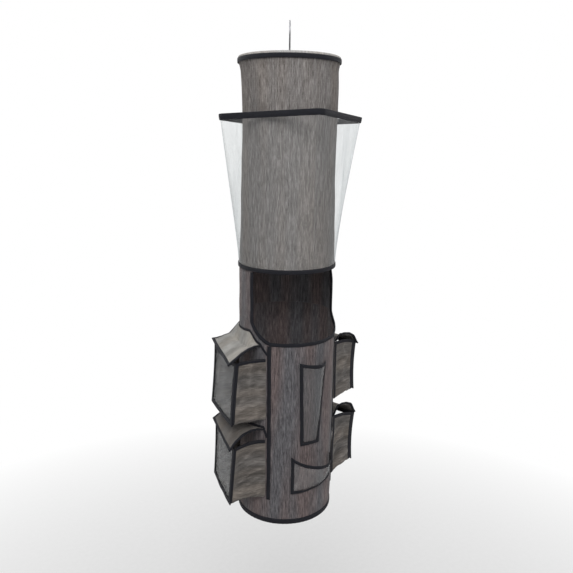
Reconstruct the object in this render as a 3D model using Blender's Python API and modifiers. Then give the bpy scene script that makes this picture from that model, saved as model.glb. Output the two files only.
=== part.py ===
# Hanging, turning organizer for gift wrap: a fabric tube on a swivel hook.
# Metres, +Z up. The origin is where the hook bears on a closet rod, and the
# front of the organizer, with its roll window, faces -Y. An azimuth is zero at
# the front and grows towards +X.

import bmesh
import bpy
from math import asin, cos, degrees, pi, radians, sin, sqrt, tan
from mathutils import Matrix, Vector

COLLECTION = "gift_wrap_organizer"

# Stock that the pieces are cut from
FABRIC = 0.0012
VINYL = 0.0008
BOARD = 0.003
TAPE = 0.001
TAPE_WIDTH = 0.010
EDGE_WIDTH = 0.0125
GAP = 0.0003
WALL_GAP = 0.0005
MERGE_DISTANCE = 0.00001
SHARP_ANGLE = 30

# Tube
TUBE_RADIUS = 0.115
HOOK_DROP = 0.0725
DOME_RISE = 0.004
BODY_HEIGHT = 1.1035
TUBE_STEPS = 64
DOME_STEPS = 5

# Swivel hook
WIRE_RADIUS = 0.002
HOOK_INNER_RADIUS = 0.019
HOOK_PLANE_AZIMUTH = -32
HOOK_LEAN = 32
HOOK_TIP_ANGLE = 196
STEM_BEND_RADIUS = 0.012
HOOK_ARC_STEPS = 18
STEM_BEND_STEPS = 5
WIRE_STEPS = 2
BORE_CLEARANCE = 0.0005
EYELET_WALL = 0.0015
EYELET_FLANGE = 0.0055
EYELET_METAL = 0.0012
WASHER_RADIUS = 0.009
WASHER_METAL = 0.0015
CAP_RADIUS = 0.0055
CAP_HEIGHT = 0.009
CAP_GRIP = 0.006
CAP_CHAMFER = 0.001
SMALL_STEPS = 24

# Clear skirt round the upper tube
SKIRT_TOP_DROP = 0.134
SKIRT_HEIGHT = 0.3415
SKIRT_CLEARANCE = 0.0109
SKIRT_CORNER_RADIUS = 0.018
SKIRT_YAW = -13
SKIRT_SHIFT = 0.009
SKIRT_SHIFT_AZIMUTH = 58
SKIRT_TILT_RISE = 0.0095
SKIRT_WIRE_RADIUS = 0.0014
SKIRT_BINDING_WIDTH = 0.012
SKIRT_SIDE_STEPS = 14
SKIRT_CORNER_STEPS = 4
SKIRT_DOWN_STEPS = 4
WEB_FOOT_WIDTH = 0.006

# Roll window
WINDOW_BOTTOM_SHARE = 0.5804
WINDOW_FLAT_AZIMUTH = 50
WINDOW_SIDE_AZIMUTH = 75
WINDOW_CORNER_HEIGHT = 0.045
WINDOW_CORNER_STEPS = 8
WINDOW_FLAT_STEPS = 20
WINDOW_SIDE_STEPS = 3
WINDOW_TAPE_WIDTH = 0.008

# Box pockets, two on each side
POCKET_AZIMUTH = 100
POCKET_ROOT_HALF = 0.081
POCKET_FACE_HALF = 0.0805
POCKET_FACE_REACH = 0.160
POCKET_MOUTH_DROP = 0.044
POCKET_ROW_SPACE = 0.054
POCKET_FOOT_RISE = 0.065
POCKET_BOTTOM_STEPS = 16
LID_FOLD_REACH = 0.1215
LID_FOLD_GAP = 0.0008
LID_LENGTH = 0.0555
LID_ROOT_HALF = 0.086
LID_TIP_HALF = 0.088
LID_SLOPE = 27.5
LID_TAPE_WIDTH = 0.008
LID_TAPE_SETBACK = 0.0022
YOKE_WALL_HALF = 0.071
YOKE_STEPS = 16

# Seam tapes of the lower front panel
SEAM_TOP_DROP = 0.018
SEAM_FOOT_RISE = 0.061
SEAM_STEPS = 2

# Clear pockets on the lower front
SCISSORS_AZIMUTH = 5
SCISSORS_LEAN = -4
SCISSORS_TOP_SHARE = 0.8845
SCISSORS_HEIGHT = 0.190
SCISSORS_TOP_HALF = 0.040
SCISSORS_BOTTOM_HALF = 0.024
SCISSORS_BULGE = 0.016
SCISSORS_SAG = 0.002
TAPE_POCKET_AZIMUTH = 9.5
TAPE_POCKET_TOP_SHARE = 0.3715
TAPE_POCKET_HEIGHT = 0.090
TAPE_POCKET_HALF = 0.060
TAPE_POCKET_BULGE = 0.027
TAPE_POCKET_SAG = 0.016
FLAT_POCKET_TAPE = 0.007
FLAT_POCKET_TAPE_LIFT = 0.0018
FLAT_POCKET_ACROSS_STEPS = 18
FLAT_POCKET_DOWN_STEPS = 10
FOOT_LIFT_SHARE = 0.12

# Heights worked out from the sizes above. The places on the lower sleeve follow
# its height, and its two rows of box pockets fill it.
TOP_Z = -HOOK_DROP - DOME_RISE
COVER_Z = TOP_Z - FABRIC
SLEEVE_TOP_Z = COVER_Z - GAP
BASE_Z = TOP_Z - BODY_HEIGHT
SLEEVE_BOTTOM_Z = BASE_Z + FABRIC + GAP
TUBE_INSIDE = TUBE_RADIUS - FABRIC
SKIRT_TOP_Z = -HOOK_DROP - SKIRT_TOP_DROP
SKIRT_BOTTOM_Z = SKIRT_TOP_Z - SKIRT_HEIGHT
WINDOW_BOTTOM_Z = TOP_Z - BODY_HEIGHT * WINDOW_BOTTOM_SHARE
WINDOW_SHOULDER_Z = WINDOW_BOTTOM_Z + WINDOW_CORNER_HEIGHT
WINDOW_TOP_Z = SKIRT_BOTTOM_Z
FLARE_FOOT_Z = SKIRT_BOTTOM_Z + EDGE_WIDTH / 2
LOWER_HEIGHT = WINDOW_BOTTOM_Z - BASE_Z
POCKET_HEIGHT = (LOWER_HEIGHT - POCKET_MOUTH_DROP - POCKET_ROW_SPACE - POCKET_FOOT_RISE) / 2
UPPER_MOUTH_Z = WINDOW_BOTTOM_Z - POCKET_MOUTH_DROP
LOWER_MOUTH_Z = UPPER_MOUTH_Z - POCKET_HEIGHT - POCKET_ROW_SPACE

# The skirt's square, which clears the tube on its four sides
SKIRT_HALF_SIDE = TUBE_RADIUS + SKIRT_CLEARANCE
SKIRT_HALF_DIAGONAL = SKIRT_HALF_SIDE * sqrt(2)

# Names, sides and mouth heights of the box pockets
POCKETS = (
    ("left_upper", -POCKET_AZIMUTH, UPPER_MOUTH_Z),
    ("left_lower", -POCKET_AZIMUTH, LOWER_MOUTH_Z),
    ("right_upper", POCKET_AZIMUTH, UPPER_MOUTH_Z),
    ("right_lower", POCKET_AZIMUTH, LOWER_MOUTH_Z),
)


def clear_scene():
    for obj in list(bpy.data.objects):
        bpy.data.objects.remove(obj, do_unlink=True)


def make_collection(name):
    collection = bpy.data.collections.new(name)
    bpy.context.scene.collection.children.link(collection)
    return collection


def make_material(name, colour, roughness, metallic=0.0, alpha=1.0):
    material = bpy.data.materials.new(name)
    material.use_nodes = True
    shader = material.node_tree.nodes["Principled BSDF"]
    shader.inputs["Base Color"].default_value = (*colour, 1.0)
    shader.inputs["Roughness"].default_value = roughness
    shader.inputs["Metallic"].default_value = metallic
    shader.inputs["Alpha"].default_value = alpha
    material.diffuse_color = (*colour, alpha)
    return material


def make_materials():
    return {
        "fabric": make_material("heather_fabric", (0.13, 0.12, 0.115), 0.9),
        "binding": make_material("black_binding", (0.012, 0.012, 0.016), 0.75),
        "vinyl": make_material("clear_vinyl", (0.85, 0.87, 0.88), 0.12, alpha=0.3),
        "steel": make_material("plated_steel", (0.72, 0.72, 0.74), 0.22, metallic=1.0),
        "board": make_material("grey_board", (0.35, 0.33, 0.30), 0.85),
    }


def place(obj, collection, material, parent=None):
    collection.objects.link(obj)
    obj.data.materials.append(material)
    if parent is not None:
        obj.parent = parent
    return obj


def make_empty(name, collection, location, rotation=(0, 0, 0)):
    empty = bpy.data.objects.new(name, None)
    collection.objects.link(empty)
    empty.location = location
    empty.rotation_euler = rotation
    return empty


def on_ring(azimuth, radius, z):
    angle = radians(azimuth)
    return Vector((radius * sin(angle), -radius * cos(angle), z))


def spread(first, last, steps):
    return [first + (last - first) * i / steps for i in range(steps + 1)]


# An open surface from rows of points, made solid on its outer or inner side.
# The rows run downwards and their points run towards growing azimuth, so that
# the surface faces away from the tube.
def sheet(name, rows, thickness, side=0, closed=False):
    mesh = bpy.data.meshes.new(name)
    shape = bmesh.new()
    grid = [[shape.verts.new(point) for point in row] for row in rows]
    count = len(rows[0])
    last = count if closed else count - 1
    for upper, lower in zip(grid, grid[1:]):
        for i in range(last):
            j = (i + 1) % count
            shape.faces.new((upper[i], lower[i], lower[j], upper[j]))
    shape.to_mesh(mesh)
    shape.free()
    obj = bpy.data.objects.new(name, mesh)
    solid = obj.modifiers.new("thickness", "SOLIDIFY")
    solid.thickness = thickness
    solid.offset = side
    solid.use_even_offset = True
    return obj


# A turned piece from a closed profile of (radius, height) points, run down its
# outer side.
def turned(name, profile, steps):
    mesh = bpy.data.meshes.new(name)
    shape = bmesh.new()
    verts = [shape.verts.new((radius, 0, z)) for radius, z in profile]
    for i, vert in enumerate(verts):
        shape.edges.new((vert, verts[(i + 1) % len(verts)]))
    shape.to_mesh(mesh)
    shape.free()
    obj = bpy.data.objects.new(name, mesh)
    screw = obj.modifiers.new("turn", "SCREW")
    screw.axis = "Z"
    screw.steps = steps
    screw.render_steps = steps
    screw.use_merge_vertices = True
    screw.merge_threshold = MERGE_DISTANCE
    return obj


def band(name, radius, top, height, thickness, steps=TUBE_STEPS):
    outer = radius + thickness
    profile = [(radius, top), (outer, top), (outer, top - height), (radius, top - height)]
    return turned(name, profile, steps)


def wire(name, points, radius, cyclic=False):
    curve = bpy.data.curves.new(name, "CURVE")
    curve.dimensions = "3D"
    curve.bevel_depth = radius
    curve.bevel_resolution = WIRE_STEPS
    curve.use_fill_caps = not cyclic
    spline = curve.splines.new("POLY")
    spline.points.add(len(points) - 1)
    for target, point in zip(spline.points, points):
        target.co = (*point, 1)
    spline.use_cyclic_u = cyclic
    return bpy.data.objects.new(name, curve)


# Binding tape folded over an edge. The path is the edge, inward points from the
# edge into the sheet that it holds, and facing is the sheet's outer side.
def folded_tape(name, path, inward, facing, half_gap, width, closed=False):
    columns = []
    for point, into, out in zip(path, inward, facing):
        edge = point - into.normalized() * GAP
        columns.append([
            edge + into * width + out * half_gap,
            edge + out * half_gap,
            edge - out * half_gap,
            edge + into * width - out * half_gap,
        ])
    rows = [[column[k] for column in columns] for k in range(len(columns[0]))]
    return sheet(name, rows, TAPE, side=-1, closed=closed)


def dome_height(radius):
    return DOME_RISE * (1 - (radius / TUBE_RADIUS) ** 2)


def domed_disc(name, inner, outer, top, thickness):
    radii = spread(inner, outer, DOME_STEPS)
    upper = [(radius, top + dome_height(radius)) for radius in radii]
    lower = [(radius, z - thickness) for radius, z in reversed(upper)]
    return turned(name, upper + lower, TUBE_STEPS)


def make_top(collection, materials):
    bore = WIRE_RADIUS + BORE_CLEARANCE
    barrel = bore + EYELET_WALL
    hole = barrel + GAP
    cover = domed_disc("top_cover", hole, TUBE_RADIUS, TOP_Z, FABRIC)
    place(cover, collection, materials["fabric"])
    board = domed_disc("top_board", hole, TUBE_INSIDE - GAP, COVER_Z - GAP, BOARD)
    place(board, collection, materials["board"])
    upper = TOP_Z + DOME_RISE + GAP
    lower = COVER_Z - GAP - BOARD - GAP + dome_height(barrel + EYELET_FLANGE)
    flange = barrel + EYELET_FLANGE
    eyelet = turned("swivel_eyelet", [
        (bore, upper + EYELET_METAL),
        (flange, upper + EYELET_METAL),
        (flange, upper),
        (barrel, upper),
        (barrel, lower),
        (flange, lower),
        (flange, lower - EYELET_METAL),
        (bore, lower - EYELET_METAL),
    ], SMALL_STEPS)
    place(eyelet, collection, materials["steel"])
    binding = band("top_binding", TUBE_RADIUS + GAP, TOP_Z, EDGE_WIDTH, TAPE)
    place(binding, collection, materials["binding"])
    return lower - EYELET_METAL


# The hook's centre line in its own plane: the stem rises on the swivel axis,
# leans out and runs over the rod in one arc to the tip.
def hook_outline(stem_foot):
    radius = HOOK_INNER_RADIUS + WIRE_RADIUS
    centre = -HOOK_INNER_RADIUS
    lean = radians(HOOK_LEAN)
    arc_start = Vector((radius * cos(lean), centre - radius * sin(lean)))
    bend = Vector((STEM_BEND_RADIUS * (1 - cos(lean)), STEM_BEND_RADIUS * sin(lean)))
    rise = (arc_start.x - bend.x) / tan(lean)
    bend_start = arc_start.y - rise - bend.y
    points = [Vector((0, stem_foot))]
    for angle in spread(0, lean, STEM_BEND_STEPS):
        step = Vector((STEM_BEND_RADIUS * (1 - cos(angle)), STEM_BEND_RADIUS * sin(angle)))
        points.append(Vector((0, bend_start)) + step)
    for angle in spread(-lean, radians(HOOK_TIP_ANGLE), HOOK_ARC_STEPS):
        points.append(Vector((radius * cos(angle), centre + radius * sin(angle))))
    return points


def make_hook(collection, materials, bearing_z):
    washer_top = bearing_z - GAP
    cap_top = washer_top - WASHER_METAL - GAP
    stem_foot = cap_top - CAP_GRIP
    swivel = make_empty("swivel_axis", collection, (0, 0, TOP_Z))
    outline = hook_outline(stem_foot)
    points = [on_ring(HOOK_PLANE_AZIMUTH, p.x, p.y - TOP_Z) for p in outline]
    place(wire("hook", points, WIRE_RADIUS), collection, materials["steel"], swivel)
    bore = WIRE_RADIUS + GAP
    washer = band("hook_washer", bore, washer_top - TOP_Z, WASHER_METAL,
                  WASHER_RADIUS - bore, SMALL_STEPS)
    place(washer, collection, materials["steel"], swivel)
    top = cap_top - TOP_Z
    floor = top - CAP_GRIP - GAP
    foot = top - CAP_HEIGHT
    cap = turned("hook_cap", [
        (0, floor),
        (bore, floor),
        (bore, top),
        (CAP_RADIUS, top),
        (CAP_RADIUS, foot + CAP_CHAMFER),
        (CAP_RADIUS - CAP_CHAMFER, foot),
        (0, foot),
    ], SMALL_STEPS)
    place(cap, collection, materials["steel"], swivel)


# Corners of the square that the skirt's wire is bent to, as seen from above
def skirt_outline():
    radius = SKIRT_CORNER_RADIUS
    centre = Vector((SKIRT_HALF_SIDE - radius, SKIRT_HALF_SIDE - radius))
    points = []
    for corner in range(4):
        start = pi / 2 * corner
        arc = spread(0, pi / 2, SKIRT_CORNER_STEPS)
        local = [centre + Vector((radius * cos(a), radius * sin(a))) for a in arc]
        run = 2 * centre.x
        along = spread(0, run, SKIRT_SIDE_STEPS)[1:-1]
        local += [local[-1] - Vector((step, 0)) for step in along]
        turn = Matrix.Rotation(start - pi * 3 / 4 + radians(SKIRT_YAW), 2)
        points += [turn @ point for point in local]
    return points


def skirt_rise(point):
    front = on_ring(SKIRT_YAW, 1, 0)
    return SKIRT_TILT_RISE * (point.x * front.x + point.y * front.y) / SKIRT_HALF_DIAGONAL


def skirt_point(point, share, foot_radius):
    shift = on_ring(SKIRT_SHIFT_AZIMUTH, SKIRT_SHIFT, 0)
    head = Vector((point.x, point.y, SKIRT_TOP_Z + skirt_rise(point))) + shift
    foot = point.normalized() * foot_radius
    return head.lerp(Vector((foot.x, foot.y, FLARE_FOOT_Z)), share)


def make_skirt(collection, materials):
    foot_radius = TUBE_RADIUS + WALL_GAP + VINYL
    outline = skirt_outline()
    half_gap = SKIRT_WIRE_RADIUS + GAP
    rim = [skirt_point(p, 0, foot_radius) for p in outline]
    foot = [skirt_point(p, 1, foot_radius) for p in outline]
    inward = [(low - high).normalized() for low, high in zip(foot, rim)]
    wire_points = [point - into * half_gap for point, into in zip(rim, inward)]
    frame = wire("skirt_wire_frame", wire_points, SKIRT_WIRE_RADIUS, cyclic=True)
    place(frame, collection, materials["steel"])
    edge = [point - into * half_gap * 2 for point, into in zip(rim, inward)]
    before = [outline[i - 1] for i in range(len(outline))]
    after = [outline[(i + 1) % len(outline)] for i in range(len(outline))]
    along = [(b - a).normalized() for a, b in zip(before, after)]
    facing = [Vector((d.y, -d.x, 0)) for d in along]
    binding = folded_tape("skirt_top_binding", edge, inward, facing, half_gap,
                          SKIRT_BINDING_WIDTH, closed=True)
    place(binding, collection, materials["binding"])
    rows = []
    for share in spread(0, 1, SKIRT_DOWN_STEPS):
        rows.append([skirt_point(p, share, foot_radius) for p in outline])
    rows.append([point - Vector((0, 0, EDGE_WIDTH - GAP)) for point in rows[-1]])
    panel = sheet("skirt_panel", rows, VINYL, side=-1, closed=True)
    place(panel, collection, materials["vinyl"])
    hem_radius = foot_radius + WALL_GAP
    hem = band("skirt_bottom_binding", hem_radius, FLARE_FOOT_Z - GAP, EDGE_WIDTH, TAPE)
    place(hem, collection, materials["binding"])
    for name, corner in (("left", -1), ("back", 2), ("right", 1)):
        web = skirt_web("skirt_web_" + name, SKIRT_YAW + degrees(pi / 2) * corner, foot_radius)
        place(web, collection, materials["vinyl"])


# A clear divider from the tube to one corner of the skirt, narrowing downwards
def skirt_web(name, azimuth, foot_radius):
    apex = on_ring(azimuth, SKIRT_HALF_DIAGONAL - SKIRT_CORNER_RADIUS * (sqrt(2) - 1), 0).xy
    clear = VINYL + 2 * GAP
    inner = TUBE_RADIUS + WALL_GAP
    head_share = (SKIRT_BINDING_WIDTH + GAP) / SKIRT_HEIGHT
    foot_share = 1 - (WEB_FOOT_WIDTH + clear) / (apex.length - foot_radius)
    rows = []
    for share in spread(head_share, foot_share, SKIRT_DOWN_STEPS):
        corner = skirt_point(apex, share, foot_radius)
        wall = on_ring(azimuth, inner, corner.z)
        rows.append([wall, corner - (corner - wall).normalized() * clear])
    return sheet(name, rows, VINYL)


# Upper edge of the lower sleeve: the window's sill with its rising corners
def sill_height(azimuth):
    beyond = (abs(azimuth) - WINDOW_FLAT_AZIMUTH) / (WINDOW_SIDE_AZIMUTH - WINDOW_FLAT_AZIMUTH)
    if beyond <= 0:
        return WINDOW_BOTTOM_Z
    return WINDOW_BOTTOM_Z + WINDOW_CORNER_HEIGHT * (1 - sqrt(1 - beyond ** 2))


def corner_azimuths():
    reach = WINDOW_SIDE_AZIMUTH - WINDOW_FLAT_AZIMUTH
    turns = spread(0, pi / 2, WINDOW_CORNER_STEPS)
    return [WINDOW_FLAT_AZIMUTH + reach * sin(turn) for turn in turns]


def make_tube(collection, materials):
    around = [degrees(2 * pi) * i / TUBE_STEPS for i in range(TUBE_STEPS)]
    upper_rows = []
    for z in (SLEEVE_TOP_Z, SKIRT_BOTTOM_Z + GAP / 2):
        upper_rows.append([on_ring(a, TUBE_RADIUS, z) for a in around])
    upper = sheet("upper_sleeve", upper_rows, FABRIC, side=-1, closed=True)
    place(upper, collection, materials["fabric"])

    rear = spread(WINDOW_SIDE_AZIMUTH, degrees(2 * pi) - WINDOW_SIDE_AZIMUTH, TUBE_STEPS // 2)
    rear_rows = []
    for z in (WINDOW_TOP_Z - GAP / 2, WINDOW_SHOULDER_Z + GAP):
        rear_rows.append([on_ring(a, TUBE_RADIUS, z) for a in rear])
    back = sheet("back_panel", rear_rows, FABRIC, side=-1)
    place(back, collection, materials["fabric"])

    flat = spread(-WINDOW_FLAT_AZIMUTH, WINDOW_FLAT_AZIMUTH, WINDOW_FLAT_STEPS)
    corner = corner_azimuths()
    ring = [-a for a in reversed(corner[1:])] + flat + corner[1:]
    sill = [sill_height(a) for a in ring] + [WINDOW_SHOULDER_Z] * len(rear[1:-1])
    ring += rear[1:-1]
    lower_rows = [
        [on_ring(a, TUBE_RADIUS, z) for a, z in zip(ring, sill)],
        [on_ring(a, TUBE_RADIUS, WINDOW_BOTTOM_Z - EDGE_WIDTH) for a in ring],
        [on_ring(a, TUBE_RADIUS, SLEEVE_BOTTOM_Z) for a in ring],
    ]
    lower = sheet("lower_sleeve", lower_rows, FABRIC, side=-1, closed=True)
    place(lower, collection, materials["fabric"])


# The binding along the window's sill and up both of its sides. It is laid out
# on the unrolled tube, where a width is a length along the fabric.
def make_window_binding(collection, materials):
    side_foot = WINDOW_SHOULDER_Z + WINDOW_CORNER_HEIGHT / WINDOW_CORNER_STEPS
    side_head = WINDOW_TOP_Z - EDGE_WIDTH / 2 - GAP
    right = [(a, sill_height(a)) for a in corner_azimuths()]
    right += [(WINDOW_SIDE_AZIMUTH, z) for z in spread(side_foot, side_head, WINDOW_SIDE_STEPS)]
    left = [(-a, z) for a, z in reversed(right)]
    flat = spread(-WINDOW_FLAT_AZIMUTH, WINDOW_FLAT_AZIMUTH, WINDOW_FLAT_STEPS)
    path = left + [(a, WINDOW_BOTTOM_Z) for a in flat[1:-1]] + right
    middle = TUBE_RADIUS - FABRIC / 2
    half_gap = FABRIC / 2 + GAP
    columns = []
    for i, (azimuth, z) in enumerate(path):
        before = path[max(i - 1, 0)]
        after = path[min(i + 1, len(path) - 1)]
        run = Vector((radians(after[0] - before[0]) * middle, after[1] - before[1])).normalized()
        into = Vector((run.y, -run.x))
        column = []
        wide = WINDOW_TAPE_WIDTH
        spots = ((wide, half_gap), (-GAP, half_gap), (-GAP, -half_gap), (wide, -half_gap))
        for depth, lift in spots:
            turn = degrees(into.x * depth / middle)
            column.append(on_ring(azimuth + turn, middle + lift, z + into.y * depth))
        columns.append(column)
    rows = [[column[k] for column in columns] for k in range(len(columns[0]))]
    binding = sheet("window_binding", rows, TAPE, side=-1)
    place(binding, collection, materials["binding"])


def disc(name, radius, top, thickness):
    foot = top - thickness
    return turned(name, [(0, top), (radius, top), (radius, foot), (0, foot)], TUBE_STEPS)


def make_base(collection, materials):
    board_z = BASE_Z + FABRIC + GAP
    radius = TUBE_INSIDE - GAP
    place(disc("base_board", radius, board_z + BOARD, BOARD), collection, materials["board"])
    cover = disc("base_cover", TUBE_RADIUS, BASE_Z + FABRIC, FABRIC)
    place(cover, collection, materials["fabric"])
    binding = band("base_binding", TUBE_RADIUS + GAP, BASE_Z + EDGE_WIDTH, EDGE_WIDTH, TAPE)
    place(binding, collection, materials["binding"])


def pocket_root_angle():
    return degrees(asin((POCKET_ROOT_HALF + FABRIC) / TUBE_RADIUS))


def make_seam_tapes(collection, materials):
    half = degrees(TAPE_WIDTH / 2 / TUBE_RADIUS)
    clear = degrees(2 * WALL_GAP / TUBE_RADIUS)
    centre = POCKET_AZIMUTH - pocket_root_angle() - half - clear
    for name, sign in (("left", -1), ("right", 1)):
        rows = []
        for z in spread(WINDOW_BOTTOM_Z - SEAM_TOP_DROP, BASE_Z + SEAM_FOOT_RISE, SEAM_STEPS):
            azimuths = spread(sign * centre - half, sign * centre + half, SEAM_STEPS)
            rows.append([on_ring(a, TUBE_RADIUS + GAP, z) for a in azimuths])
        tape = sheet("front_seam_tape_" + name, rows, TAPE, side=1)
        place(tape, collection, materials["binding"])


# A clear pocket sewn flat to the tube, with its mouth bulging open. The spot
# across runs from -1 to 1 and down from 0 at the mouth to 1 at the foot.
def flat_pocket_point(spec, across, down, lift):
    half = spec["top_half"] + (spec["bottom_half"] - spec["top_half"]) * down
    arch = 1 - across ** 2
    swell = spec["bulge"] * arch * (1 - down ** 2 * (1 - FOOT_LIFT_SHARE) - down * FOOT_LIFT_SHARE)
    azimuth = spec["azimuth"] + spec["lean"] * down + degrees(half * across / TUBE_RADIUS)
    sag = spec["sag"] * arch * (1 - down)
    z = spec["top"] - spec["height"] * down - sag
    return on_ring(azimuth, TUBE_RADIUS + WALL_GAP + swell + lift, z)


def flat_pocket(name, spec, collection, materials):
    rows = []
    for down in spread(0, 1, FLAT_POCKET_DOWN_STEPS):
        across = spread(-1, 1, FLAT_POCKET_ACROSS_STEPS)
        rows.append([flat_pocket_point(spec, a, down, 0) for a in across])
    place(sheet(name, rows, VINYL, side=1), collection, materials["vinyl"])
    inset_down = FLAT_POCKET_TAPE / spec["height"]
    loops = []
    for inset in (1, 0):
        half = (spec["top_half"] + spec["bottom_half"]) / 2
        edge = 1 - FLAT_POCKET_TAPE / half * inset
        head = inset_down * inset
        foot = 1 - head
        sides = spread(head, foot, FLAT_POCKET_DOWN_STEPS)
        width = spread(-edge, edge, FLAT_POCKET_ACROSS_STEPS)
        loop = [(a, head) for a in width[:-1]] + [(edge, d) for d in sides[:-1]]
        loop += [(a, foot) for a in reversed(width[1:])] + [(-edge, d) for d in reversed(sides[1:])]
        loops.append([flat_pocket_point(spec, a, d, FLAT_POCKET_TAPE_LIFT) for a, d in loop])
    binding = sheet(name + "_binding", loops[::-1], TAPE, side=1, closed=True)
    place(binding, collection, materials["binding"])


def make_flat_pockets(collection, materials):
    flat_pocket("scissors_pocket", {
        "azimuth": SCISSORS_AZIMUTH,
        "lean": SCISSORS_LEAN,
        "top": BASE_Z + LOWER_HEIGHT * SCISSORS_TOP_SHARE,
        "height": SCISSORS_HEIGHT,
        "top_half": SCISSORS_TOP_HALF,
        "bottom_half": SCISSORS_BOTTOM_HALF,
        "bulge": SCISSORS_BULGE,
        "sag": SCISSORS_SAG,
    }, collection, materials)
    flat_pocket("tape_pocket", {
        "azimuth": TAPE_POCKET_AZIMUTH,
        "lean": 0,
        "top": BASE_Z + LOWER_HEIGHT * TAPE_POCKET_TOP_SHARE,
        "height": TAPE_POCKET_HEIGHT,
        "top_half": TAPE_POCKET_HALF,
        "bottom_half": TAPE_POCKET_HALF,
        "bulge": TAPE_POCKET_BULGE,
        "sag": TAPE_POCKET_SAG,
    }, collection, materials)


# In a box pocket's own frame x runs along the tube's side, -y points away from
# the tube, and z is zero at the pocket's mouth.
def wall_y(x, clear):
    return -sqrt((TUBE_RADIUS + clear) ** 2 - x ** 2)


def make_gusset(name, frame, collection, materials):
    edge_y = -POCKET_FACE_REACH + VINYL / 2 + TAPE + 2 * GAP
    along = [(-1, 0), (-1, 1)]
    along += [(share, 1) for share in spread(-1, 1, POCKET_BOTTOM_STEPS)[1:]]
    along += [(1, 0)]
    root = []
    edge = []
    for share, down in along:
        x = POCKET_ROOT_HALF * share
        root.append(Vector((x, wall_y(x, WALL_GAP), -POCKET_HEIGHT * down)))
        edge.append(Vector((POCKET_FACE_HALF * share, edge_y, -POCKET_HEIGHT * down)))
    gusset = sheet(name + "_gusset", [root, edge], FABRIC, side=-1)
    place(gusset, collection, materials["fabric"], frame)


def make_face(name, frame, collection, materials):
    y = -POCKET_FACE_REACH
    half = POCKET_FACE_HALF
    foot = -POCKET_HEIGHT - FABRIC
    rows = [[Vector((x, y, z)) for x in (-half, half)] for z in (0, foot)]
    place(sheet(name + "_face", rows, VINYL), collection, materials["vinyl"], frame)
    corners = [(-half, 0), (half, 0), (half, foot), (-half, foot)]
    path = [Vector((x, y, z)) for x, z in corners]
    middle = foot / 2
    inward = [Vector((-1 if x > 0 else 1, 0, -1 if z > middle else 1)) for x, z in corners]
    facing = [Vector((0, -1, 0)) for corner in corners]
    tape = folded_tape(name + "_face_binding", path, inward, facing, VINYL / 2 + GAP,
                       TAPE_WIDTH, closed=True)
    place(tape, collection, materials["binding"], frame)


# Height of the lid's fold above the mouth, with its side tapes just clear of
# the face's top binding
def fold_height():
    slope = radians(LID_SLOPE)
    rest = GAP + TAPE + GAP
    lid_depth = (FABRIC + GAP + TAPE) / cos(slope)
    face_outside = POCKET_FACE_REACH + VINYL / 2 + GAP + TAPE
    return rest + lid_depth + tan(slope) * (face_outside - LID_FOLD_REACH)


# The fixed part of the lid's cloth, between the round tube and the straight fold
def make_yoke(name, frame, collection, materials):
    slope = radians(LID_SLOPE)
    clear = WALL_GAP + FABRIC * sin(slope)
    wall = []
    fold = []
    for share in spread(-1, 1, YOKE_STEPS):
        x = YOKE_WALL_HALF * share
        y = wall_y(x, clear)
        wall.append(Vector((x, y, fold_height() + (y + LID_FOLD_REACH) * tan(slope))))
        y = -LID_FOLD_REACH + LID_FOLD_GAP * cos(slope)
        fold.append(Vector((LID_ROOT_HALF * share, y, fold_height() + LID_FOLD_GAP * sin(slope))))
    yoke = sheet(name + "_lid_yoke", [wall, fold], FABRIC, side=-1)
    place(yoke, collection, materials["fabric"], frame)


def make_lid(name, azimuth, mouth_z, collection, materials):
    turn = radians(azimuth)
    out = on_ring(azimuth, LID_FOLD_REACH, mouth_z + fold_height())
    hinge = make_empty("hinge_" + name, collection, out, (radians(LID_SLOPE), 0, turn))
    near = -LID_FOLD_GAP
    rows = [
        [Vector((x, near, 0)) for x in (-LID_ROOT_HALF, LID_ROOT_HALF)],
        [Vector((x, -LID_LENGTH, 0)) for x in (-LID_TIP_HALF, LID_TIP_HALF)],
    ]
    place(sheet("lid_" + name, rows, FABRIC, side=-1), collection, materials["fabric"], hinge)
    start = -LID_TAPE_SETBACK
    root_half = LID_ROOT_HALF + (LID_TIP_HALF - LID_ROOT_HALF) * LID_TAPE_SETBACK / LID_LENGTH
    middle = -FABRIC / 2
    path = [
        Vector((root_half, start, middle)),
        Vector((LID_TIP_HALF, -LID_LENGTH, middle)),
        Vector((-LID_TIP_HALF, -LID_LENGTH, middle)),
        Vector((-root_half, start, middle)),
    ]
    inward = [Vector((-1, 0, 0)), Vector((-1, 1, 0)), Vector((1, 1, 0)), Vector((1, 0, 0))]
    facing = [Vector((0, 0, 1)) for point in path]
    tape = folded_tape("lid_" + name + "_binding", path, inward, facing, FABRIC / 2 + GAP,
                       LID_TAPE_WIDTH)
    place(tape, collection, materials["binding"], hinge)


def make_box_pockets(collection, materials):
    for name, azimuth, mouth_z in POCKETS:
        frame = make_empty("pocket_" + name, collection, (0, 0, mouth_z), (0, 0, radians(azimuth)))
        make_gusset("pocket_" + name, frame, collection, materials)
        make_face("pocket_" + name, frame, collection, materials)
        make_yoke("pocket_" + name, frame, collection, materials)
        make_lid(name, azimuth, mouth_z, collection, materials)


def shade(collection):
    for obj in collection.objects:
        if obj.type == "MESH":
            obj.data.shade_smooth()
            obj.data.set_sharp_from_angle(angle=radians(SHARP_ANGLE))


def main():
    clear_scene()
    collection = make_collection(COLLECTION)
    materials = make_materials()
    bearing_z = make_top(collection, materials)
    make_hook(collection, materials, bearing_z)
    make_tube(collection, materials)
    make_skirt(collection, materials)
    make_window_binding(collection, materials)
    make_base(collection, materials)
    make_seam_tapes(collection, materials)
    make_flat_pockets(collection, materials)
    make_box_pockets(collection, materials)
    shade(collection)


main()
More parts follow.
